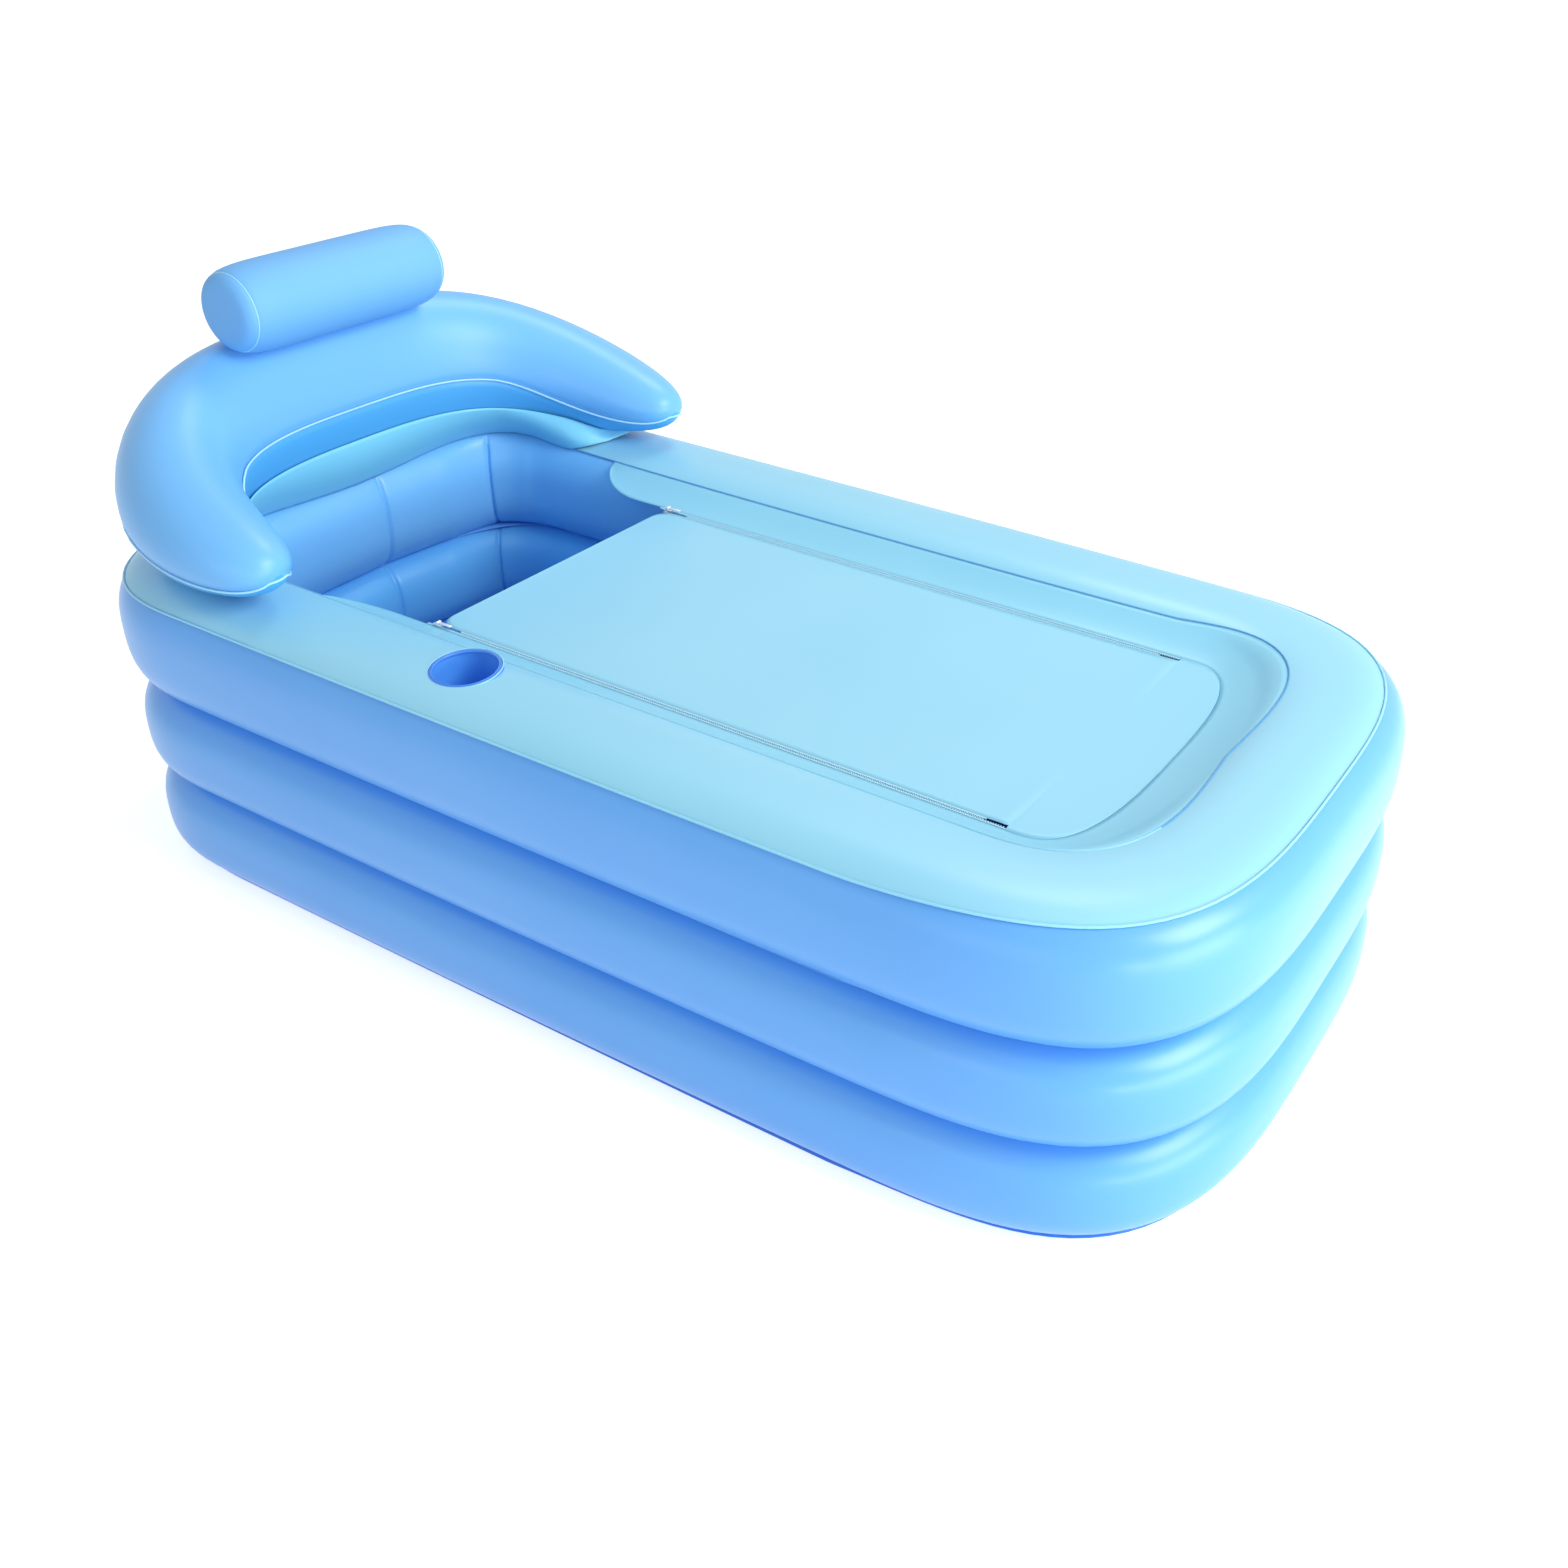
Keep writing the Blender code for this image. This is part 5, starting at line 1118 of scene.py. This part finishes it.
def back_runs():
    """a table of (length run, t) for the near half of the middle line"""
    table, run, last = [(0.0, 0.0)], 0.0, back_place(0.0)
    for k in range(1, FINE_STEPS + 1):
        t = (k / FINE_STEPS) ** 2 / 2
        here = back_place(t)
        run += math.hypot(here[0] - last[0], here[1] - last[1])
        table.append((run, t))
        last = here
    return table


BACK_RUNS = back_runs()
BACK_LENGTH = 2 * BACK_RUNS[-1][0]
print("the crescent is", round(BACK_LENGTH, 3), "m long")

# %% Backrest section


def back_section(run):
    """centre, half sizes, level and outward direction at a length run from the near arm's tip"""
    short = min(run, BACK_LENGTH - run)
    low, high = 0, len(BACK_RUNS) - 1
    while high - low > 1:
        middle = (low + high) // 2
        low, high = (middle, high) if BACK_RUNS[middle][0] <= short else (low, middle)
    (r0, t0), (r1, t1) = BACK_RUNS[low], BACK_RUNS[high]
    t = t0 + (t1 - t0) * min(1.0, (short - r0) / (r1 - r0))
    t = t if run <= BACK_LENGTH / 2 else 1 - t
    x, y = back_place(t)
    d = 1 / 2 ** 14
    a, b = back_place(max(t - d, 0.0)), back_place(min(t + d, 1.0))
    tx, ty = b[0] - a[0], b[1] - a[1]
    n = math.hypot(tx, ty)
    grow = abs(math.sin(math.pi * t)) ** BACK_GROWTH
    width = BACK_WIDTH[0] + (BACK_WIDTH[1] - BACK_WIDTH[0]) * grow
    height = BACK_HEIGHT[0] + (BACK_HEIGHT[1] - BACK_HEIGHT[0]) * grow
    e = min(short / BACK_TIP, 1.0)
    nose = max(0.0, 1 - (1 - e) ** NOSE_ROUND) ** (1 / NOSE_ROUND)
    level = BACK_FLOOR - BACK_SINK + height
    return x + SHIFT_X, y, width * nose, height * nose, level, (-ty / n, tx / n)


def back_seams(run):
    """the inner and the outer weld's place in the section; both run lower towards the arm tips"""
    drop = BACK_SEAM_DROP * (1 - min(1.0, min(run, BACK_LENGTH - run) / BACK_TIP)) ** 1.5
    return BACK_SEAM_IN + drop, BACK_SEAM_OUT - drop


def back_point(run, angle, drawn=0.0):
    """a point of the film; drawn is how deep the two welds pull it in"""
    x, y, width, height, level, (nx, ny) = back_section(run)
    pull = 0.0
    if drawn:
        for seam_at in back_seams(run):
            away = (angle - seam_at + math.pi) % (2 * math.pi) - math.pi
            pull += drawn * math.exp(-(away * max(height, 0.01) / DRAWN_REACH) ** 2)
    u = max(width - pull, width * 0.2) * power(math.cos(angle), 2 / BACK_ROUND)
    v = height * power(math.sin(angle), 2 / BACK_ROUND)
    return Vector((x + u * nx, y + u * ny, max(level + v, BACK_FLOOR)))


def back_stations():
    """places along the crescent, closer together at the rounded noses of the arms"""
    nose = [BACK_TIP * (1 - math.cos(math.radians(a))) for a in [1.5] + list(range(4, 90, 4))]
    middle = [BACK_TIP + (BACK_LENGTH - 2 * BACK_TIP) * k / 80 for k in range(81)]
    return nose + middle + [BACK_LENGTH - r for r in reversed(nose)]


def seam_spaced_angles():
    """even steps round the section, with finer ones at the two welds"""
    extra = []
    for seam_at in (BACK_SEAM_IN, BACK_SEAM_OUT + 2 * math.pi):
        extra += [seam_at + math.radians(d)
                  for d in (-5, -3.4, -2.2, -1.2, -0.5, 0, 0.5, 1.2, 2.2, 3.4, 5)]
    extra += [math.radians(a) for start in (188, 314) for a in range(start, start + 32, 2)]
    even = [math.radians(a) for a in range(0, 360, 5)]
    even = [a for a in even if min(abs(a - e) for e in extra) > math.radians(1.6)]
    return sorted(even + [a % (2 * math.pi) for a in extra]) + [2 * math.pi]


print("half width and half height:", [round(c, 4) for c in back_section(BACK_LENGTH / 2)[2:4]])

# %% Backrest skin
back_runs_list, back_angles = back_stations(), seam_spaced_angles()
backrest = skin("backrest_air_chamber", back_runs_list, back_angles,
                lambda run, angle: back_point(run, angle, BACK_DRAWN))
closed_up(backrest)
dress(backrest, head_vinyl, "tub", "backrest")
# the faces below the weld get a deeper copy of the sky film, as painted shade
backrest.data.materials.append(underside_painted_shade_vinyl)
film_map = backrest.data.uv_layers["film"].data
for face in backrest.data.polygons:      # the film below the weld is painted a deeper blue: painted shade on the underside
    across = sum(film_map[k].uv.x for k in face.loop_indices) / len(face.loop_indices)
    rounds = sum(film_map[k].uv.y for k in face.loop_indices) / len(face.loop_indices)
    weld_in, weld_out = back_seams(back_runs_list[int(across * (len(back_runs_list) - 1))])
    angle = back_angles[int(rounds * (len(back_angles) - 1))]
    face.material_index = int(weld_in <= angle < weld_out + 2 * math.pi)
print("backrest faces:", len(backrest.data.polygons))

# %% Backrest weld
BACK_BEAD, BEAD_LIFT, TIP_BULGE = 0.0015, 0.0004, 0.0030


def back_offset(run, angle, distance):
    """a point at a distance off the film"""
    step = math.radians(1)
    lo, hi = max(run - SEAT, 1e-5), min(run + SEAT, BACK_LENGTH - 1e-5)
    normal = (back_point(hi, angle) - back_point(lo, angle)).cross(
        back_point(run, angle + step) - back_point(run, angle - step)).normalized()
    x, y, _, _, level, _ = back_section(run)
    point = back_point(run, angle)
    if normal.dot(point - Vector((x, y, level))) < 0:
        normal.negate()
    return point + normal * distance


def back_weld():
    """the weld line: outer side, over the far tip, inner side and over the near tip"""
    runs = back_runs_list[2:-2]
    line = [back_offset(r, back_seams(r)[1], BEAD_LIFT) for r in runs]
    line += [back_tip(runs[-1], a) for a in (0.75, 0.4, 0.0, -0.4, -0.75)]
    line += [back_offset(r, back_seams(r)[0], BEAD_LIFT) for r in reversed(runs)]
    line += [back_tip(runs[0], a) for a in (-0.75, -0.4, 0.0, 0.4, 0.75)]
    return line


def back_tip(run, share):
    """the weld across an arm's tip, between the inner and the outer weld there"""
    inner, outer = (back_point(run, a) for a in back_seams(run))
    point = inner.lerp(outer, (share + 1) / 2)
    return point + Vector((TIP_BULGE * (1 - share ** 2), 0.0, 0.0))


back_bead = bead("backrest_weld_bead", back_weld(), BACK_BEAD, True)
dress(back_bead, sky_weld, "tub", "backrest_seam")
print("weld bead faces:", len(back_bead.data.polygons))

# %% [markdown]
# ## The film between the rim and the backrest
# A band of film runs from the backrest's foot down to the rim's inner weld. Air stands behind it, so it
# bulges a little. It is a strip of film, highest at the middle of the crescent and running out towards
# the arm tips, and one line of its section is drawn at each place along the backrest.

# %% Film band
BAND_RISE, BAND_SHARE, BAND_BULGE, BAND_START = 0.0600, 2.4, 0.0090, 0.0800
BAND_NARROW, BAND_OFF_BACK, BAND_OFF_RIM, BAND_STEPS = 0.090, 0.0036, 0.0025, 14
rim_weld_line = [rim_inner(k * 0.1) for k in range(10 * ROUND)]


def band_line(run):
    """from the backrest's face down to the rim's inner weld"""
    away = abs(2 * run / BACK_LENGTH - 1)
    short = min(run, BACK_LENGTH - run)
    narrow = max(0.0, 1 - (short - BAND_START) / BAND_NARROW) ** 2
    rise = BAND_RISE * (1 - away ** BAND_SHARE) * (1 - narrow)
    _, _, _, height, level, (nx, ny) = back_section(run)
    sunk = clamped((level - BACK_FLOOR - rise) / height)
    top = back_point(run, math.pi + math.asin(sunk ** (BACK_ROUND / 2)))
    outwards = Vector((nx, ny, 0.0))
    home = min(rim_weld_line, key=lambda p: (p.xy - top.xy).length) - outwards * BAND_OFF_RIM
    start = top - outwards * BAND_OFF_BACK * (1 - narrow)
    home = home.lerp(start, narrow * 0.97)
    middle = start.lerp(home, 0.5) - outwards * 2 * BAND_BULGE * (1 - narrow)
    shares = [k / BAND_STEPS for k in range(BAND_STEPS + 1)]
    return [start.lerp(middle, t).lerp(middle.lerp(home, t), t) for t in shares]


band_runs = [r for r in back_runs_list if BAND_START < r < BACK_LENGTH - BAND_START]
band_lines = {r: band_line(r) for r in band_runs}
band = skin("pale_film_band", band_runs, list(range(BAND_STEPS + 1)),
            lambda run, k: band_lines[run][k], COVER_FILM)
# the band's film is a deeper copy of the pale film: painted shade under the backrest
dress(band, band_painted_shade_vinyl, "tub", "back_gusset")
print("film band from", round(band_runs[0], 3), "to", round(band_runs[-1], 3), "m along the crescent")

# %% [markdown]
# ## The neck pillow
# The pillow is a small air cylinder. Round panels are welded into its ends, and each weld shows as a fine
# line set a little in from the end, with the end panel crowned beyond it.

# %% Pillow
PILLOW_X, PILLOW_RADIUS, PILLOW_LENGTH = -0.6666, 0.0565, 0.3294
PILLOW_INSET, PILLOW_ROUND, PILLOW_BEAD = 0.0130, 7.0, 0.0008
PILLOW_DRAWN, PILLOW_DRAWN_REACH = 0.0011, 0.0022
pillow_low, pillow_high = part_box("pillow")
PILLOW_LEVEL = (pillow_low.z + pillow_high.z) / 2 + 0.0015      # sits a little above its CAD place


def pillow_radius(s):
    """the radius at s, which is 0 in the middle and 1 at an end"""
    full = PILLOW_RADIUS * max(1 - abs(s) ** PILLOW_ROUND, 0.0) ** (1 / PILLOW_ROUND)
    weld = 1 - PILLOW_INSET / (PILLOW_LENGTH / 2)
    from_weld = (abs(s) - weld) * PILLOW_LENGTH / 2
    return full - PILLOW_DRAWN * math.exp(-(from_weld / PILLOW_DRAWN_REACH) ** 2)


def pillow():
    """the air chamber, turned round its long axis"""
    shares = [math.sin(math.pi / 2 * k / 60) for k in range(-60, 61)]
    profile = [(pillow_radius(s), PILLOW_LENGTH / 2 * s) for s in shares]
    profile[0] = (0.0, profile[0][1])
    profile[-1] = (0.0, profile[-1][1])
    matrix = (Matrix.Translation((PILLOW_X + SHIFT_X, 0.0, PILLOW_LEVEL))
              @ Matrix.Rotation(math.pi / 2, 4, "X"))
    return turned("neck_pillow_air_chamber", profile, matrix, 96)


pillow_piece = pillow()
dress(pillow_piece, matt_vinyl, "tub", "pillow")
for side, tag in ((-1, "near"), (1, "far")):
    y = side * (PILLOW_LENGTH / 2 - PILLOW_INSET)
    r = pillow_radius(1 - PILLOW_INSET / (PILLOW_LENGTH / 2)) + 0.0002
    points = [Vector((PILLOW_X + SHIFT_X + x, y, PILLOW_LEVEL + z)) for x, z in circle(r)]
    weld = bead("pillow_weld_bead_" + tag, points, PILLOW_BEAD, True)
    dress(weld, sky_weld, "tub", "pillow_weld_" + tag)
print("pillow faces:", len(pillow_piece.data.polygons))

# %% [markdown]
# ## The air mattress on the floor
# The floor is a thin air chamber with lengthwise welds, which make soft round channels. It lies inside
# the lowest ring, and the two middle channels stop short of the drain.

# %% Air mattress
FLOOR_GAP, FLOOR_HEIGHT, FLOOR_DIP, CHANNELS = 0.0040, 0.0420, 0.0200, 6
HEAD_IN, FOOT_IN = -LENGTH / 2 + HEAD_WALL, LENGTH / 2 - FOOT_WALL
FLOOR_HALF = WIDTH / 2 - SIDE_WALL - FLOOR_GAP
FLOOR_PITCH = 2 * FLOOR_HALF / CHANNELS
FLOOR_END, FLOOR_EDGE = 0.030, 0.06     # length in which the ends and share in which the sides round off
NOTCH_HEAD, NOTCH_SIDE, NOTCH_CORNER = DRAIN_X - 0.0600, FLOOR_PITCH - 0.0030, 0.0200


def mattress_skin():
    """a grid over the mattress, top and sides; the underside is flat and the middle channels, which
    leave the drain free, are shorter"""
    base = BASE_FILM + SEAT

    def place(along, across):
        y = FLOOR_HALF * max(-1.0, min(1.0, across))
        edge = min(1.0, abs(y) / FLOOR_HALF)
        draw = max(1 - edge ** INNER_ROUND, 0.0) ** (1 / INNER_ROUND)
        head = HEAD_IN + FLOOR_GAP + INNER_HEAD_CAP * (1 - draw)
        foot = FOOT_IN - FLOOR_GAP - INNER_FOOT_CAP * (1 - draw)
        if abs(y) < NOTCH_SIDE:
            round_off = max(0.0, abs(y) - NOTCH_SIDE + NOTCH_CORNER) / NOTCH_CORNER
            foot = NOTCH_HEAD + NOTCH_CORNER * (1 - math.sqrt(max(0.0, 1 - round_off ** 2)))
        swell = abs(math.sin(math.pi * (y + FLOOR_HALF) / FLOOR_PITCH)) ** 0.6
        x = head + (foot - head) * along
        ends = min(1.0, min(x - head, foot - x) / FLOOR_END)
        rise = FLOOR_DIP + (FLOOR_HEIGHT - FLOOR_DIP) * swell
        height = rise * math.sqrt(max(0.0, 1 - (1 - ends) ** 2)) ** 0.7
        height *= min(1.0, (1 - edge) / FLOOR_EDGE) ** 0.4
        return Vector((x + SHIFT_X, y, base + max(height, 0.0)))

    alongs = [0.5 - 0.5 * math.cos(math.pi * k / 90) for k in range(91)]
    edge = NOTCH_SIDE / FLOOR_HALF
    acrosses = [k / 60 - 1 for k in range(121)]
    for side in (-edge, edge):
        acrosses = [a for a in acrosses if abs(a - side) > 0.004] + [side - 0.0004, side + 0.0004]
    return skin("mattress_air_chamber", alongs, sorted(acrosses), place)


mattress = mattress_skin()
closed_up(mattress)
mattress.data.shade_smooth()
mattress.data.set_sharp_from_angle(angle=math.radians(55))
dress(mattress, deep_vinyl, "tub", "air_mattress")
print("mattress faces:", len(mattress.data.polygons))

# %% [markdown]
# ## Valves and drain
# Each ring has a screw valve at the head end: a welded flange, a threaded neck and a ribbed cap. The
# backrest, the pillow and the mattress have small stopper valves. They are moulded in soft PVC without
# much pigment, which gives them a milky look and an even satin surface.

# %% Valves
moulded_clear = calendered_film("milky_moulded_pvc", "#DDEBF4", "#D2E3EF", roughness=0.36, wave_mm=12.0,
                                wave_depth=0.0001)
FLANGE, FLANGE_THICK, NECK, NECK_LENGTH, BORE = 0.0170, 0.0020, 0.0100, 0.0060, 0.0060
CAP, CAP_LENGTH, CAP_RIB, CAP_RIBS = 0.0130, 0.0075, 0.0007, 12
STEM_TALL = 0.0072
FLOOR_VALVE_X = -0.600
to_head = Matrix.Rotation(-math.pi / 2, 4, "Y")


def screw_valve(tag, z):
    """a flange with a threaded neck in the ring's head end, and the ribbed cap on it"""
    matrix = Matrix.Translation((-LENGTH / 2 + SHIFT_X, 0.0, z)) @ to_head
    profile = [(BORE, 0.0), (FLANGE - 0.0005, 0.0), (FLANGE, 0.0004),
               (FLANGE - 0.0006, FLANGE_THICK - 0.0006), (FLANGE - 0.003, FLANGE_THICK),
               (NECK + 0.0006, FLANGE_THICK), (NECK - 0.0004, FLANGE_THICK + 0.0004)]
    for k in range(3):
        crest = FLANGE_THICK + 0.0012 + 0.0016 * k
        profile += [(NECK - 0.0004, crest - 0.0004), (NECK, crest), (NECK - 0.0004, crest + 0.0004)]
    top = FLANGE_THICK + NECK_LENGTH
    profile += [(NECK - 0.0006, top), (BORE + 0.0006, top), (BORE, top - 0.0006), (BORE, 0.0)]
    body = turned("screw_valve_" + tag, raised(profile, SEAT), matrix)
    dress(body, moulded_clear, "tub", "valve_body_" + tag)
    inner, ceiling = NECK + 0.0004, NECK_LENGTH + 0.0001
    profile = [(0.0, CAP_LENGTH), (CAP - 0.0040, CAP_LENGTH), (CAP - 0.0033, CAP_LENGTH - 0.0006),
               (CAP - 0.0020, CAP_LENGTH - 0.0002), (CAP - 0.0008, CAP_LENGTH - 0.0005),
               (CAP - 0.0003, CAP_LENGTH - 0.0012), (CAP - 0.0001, 0.0006), (CAP - 0.0004, 0.0),
               (inner, 0.0), (inner, ceiling), (0.0, ceiling)]
    profile = raised(profile, FLANGE_THICK + 2 * SEAT)
    cap = turned("screw_cap_" + tag, profile, Matrix.Identity(4), 96)
    for v in cap.data.vertices:
        r = math.hypot(v.co.x, v.co.y)
        if r > CAP - 0.0012:
            rib = 1 - CAP_RIB / r * (0.5 - 0.5 * math.cos(CAP_RIBS * math.atan2(v.co.y, v.co.x)))
            v.co.x *= rib
            v.co.y *= rib
    cap.data.transform(matrix)
    dress(cap, moulded_clear, "cap_" + tag, "valve_cap_" + tag)


def stopper_valve(tag, matrix, body_name):
    """a small welded stem with a plug pushed into it"""
    stem = turned("stopper_stem_" + tag, raised([
        (0.0030, 0.0), (0.0107, 0.0), (0.0110, 0.0003), (0.0105, 0.0012), (0.0058, 0.0013),
        (0.0050, 0.0021), (0.0048, STEM_TALL - 0.0012), (0.0050, STEM_TALL - 0.0006),
        (0.0047, STEM_TALL), (0.0033, STEM_TALL), (0.0030, STEM_TALL - 0.0004), (0.0030, 0.0)],
        SEAT), matrix)
    dress(stem, moulded_clear, "tub", "stem_" + tag)
    plug = turned("stopper_plug_" + tag, raised([
        (0.0, -0.0050), (0.0020, -0.0049), (0.0026, -0.0040), (0.0026, -0.0002), (0.0056, 0.0),
        (0.0062, 0.0006), (0.0060, 0.0016), (0.0050, 0.0022), (0.0, 0.0022)],
        STEM_TALL + 2 * SEAT), matrix)
    dress(plug, moulded_clear, body_name, "plug_" + tag)


for tag, z in (("lower", LOWER_Z + LOWER / 2), ("middle", MIDDLE_Z + MIDDLE / 2),
               ("upper", RING_CENTRE)):
    screw_valve(tag, z)
on_back = Matrix.Translation(back_point(BACK_LENGTH / 2, 0.0)) @ to_head
on_pillow = Matrix.Translation((PILLOW_X + SHIFT_X - PILLOW_RADIUS, 0.0, PILLOW_LEVEL)) @ to_head
on_floor = Matrix.Translation((FLOOR_VALVE_X + SHIFT_X, 1.5 * FLOOR_PITCH,
                               BASE_FILM + SEAT + FLOOR_HEIGHT))
for tag, place in (("backrest", on_back), ("pillow", on_pillow), ("mattress", on_floor)):
    stopper_valve(tag, place, tag + "_plug")

# %% Drain
drain_at = Matrix.Translation((DRAIN_X + SHIFT_X, 0.0, BASE_FILM + SEAT))
DRAIN_FLANGE, DRAIN_TALL, DRAIN_COLLAR = 0.0330, 0.0080, DRAIN_BORE + 0.0050
STOPPER_SIDE, DISC_THICK = DRAIN_BORE - SEAT, 0.0030
LOOP_RADIUS, LOOP_BEAD = 0.0075, 0.0012
fitting = turned("drain_flange", rounded([
    (DRAIN_BORE, 0.0), (DRAIN_FLANGE, 0.0), (DRAIN_FLANGE, 0.0030), (DRAIN_COLLAR, 0.0030),
    (DRAIN_COLLAR, DRAIN_TALL), (DRAIN_BORE, DRAIN_TALL)], 0.0010), drain_at)
dress(fitting, moulded_clear, "tub", "drain_fitting")
stopper = turned("drain_stopper_disc", raised([
    (0.0, -0.0050), (STOPPER_SIDE - 0.0012, -0.0050), (STOPPER_SIDE - 0.0006, -0.0044),
    (STOPPER_SIDE, 0.0), (0.0196, 0.0), (0.0200, 0.0005), (0.0198, DISC_THICK - 0.0006),
    (0.0190, DISC_THICK), (0.0, DISC_THICK)], DRAIN_TALL + SEAT), drain_at)
dress(stopper, head_vinyl, "stopper", "drain_stopper")
loop_level = DRAIN_TALL + SEAT + DISC_THICK
half_circle = circle(LOOP_RADIUS, 40)[:21]
loop = [drain_at @ Vector((x, 0.0, loop_level + z)) for x, z in half_circle]
handle = bead("drain_stopper_loop", loop, LOOP_BEAD, False)
dress(handle, head_vinyl, "stopper")
print("drain bore:", 2000 * DRAIN_BORE, "mm")
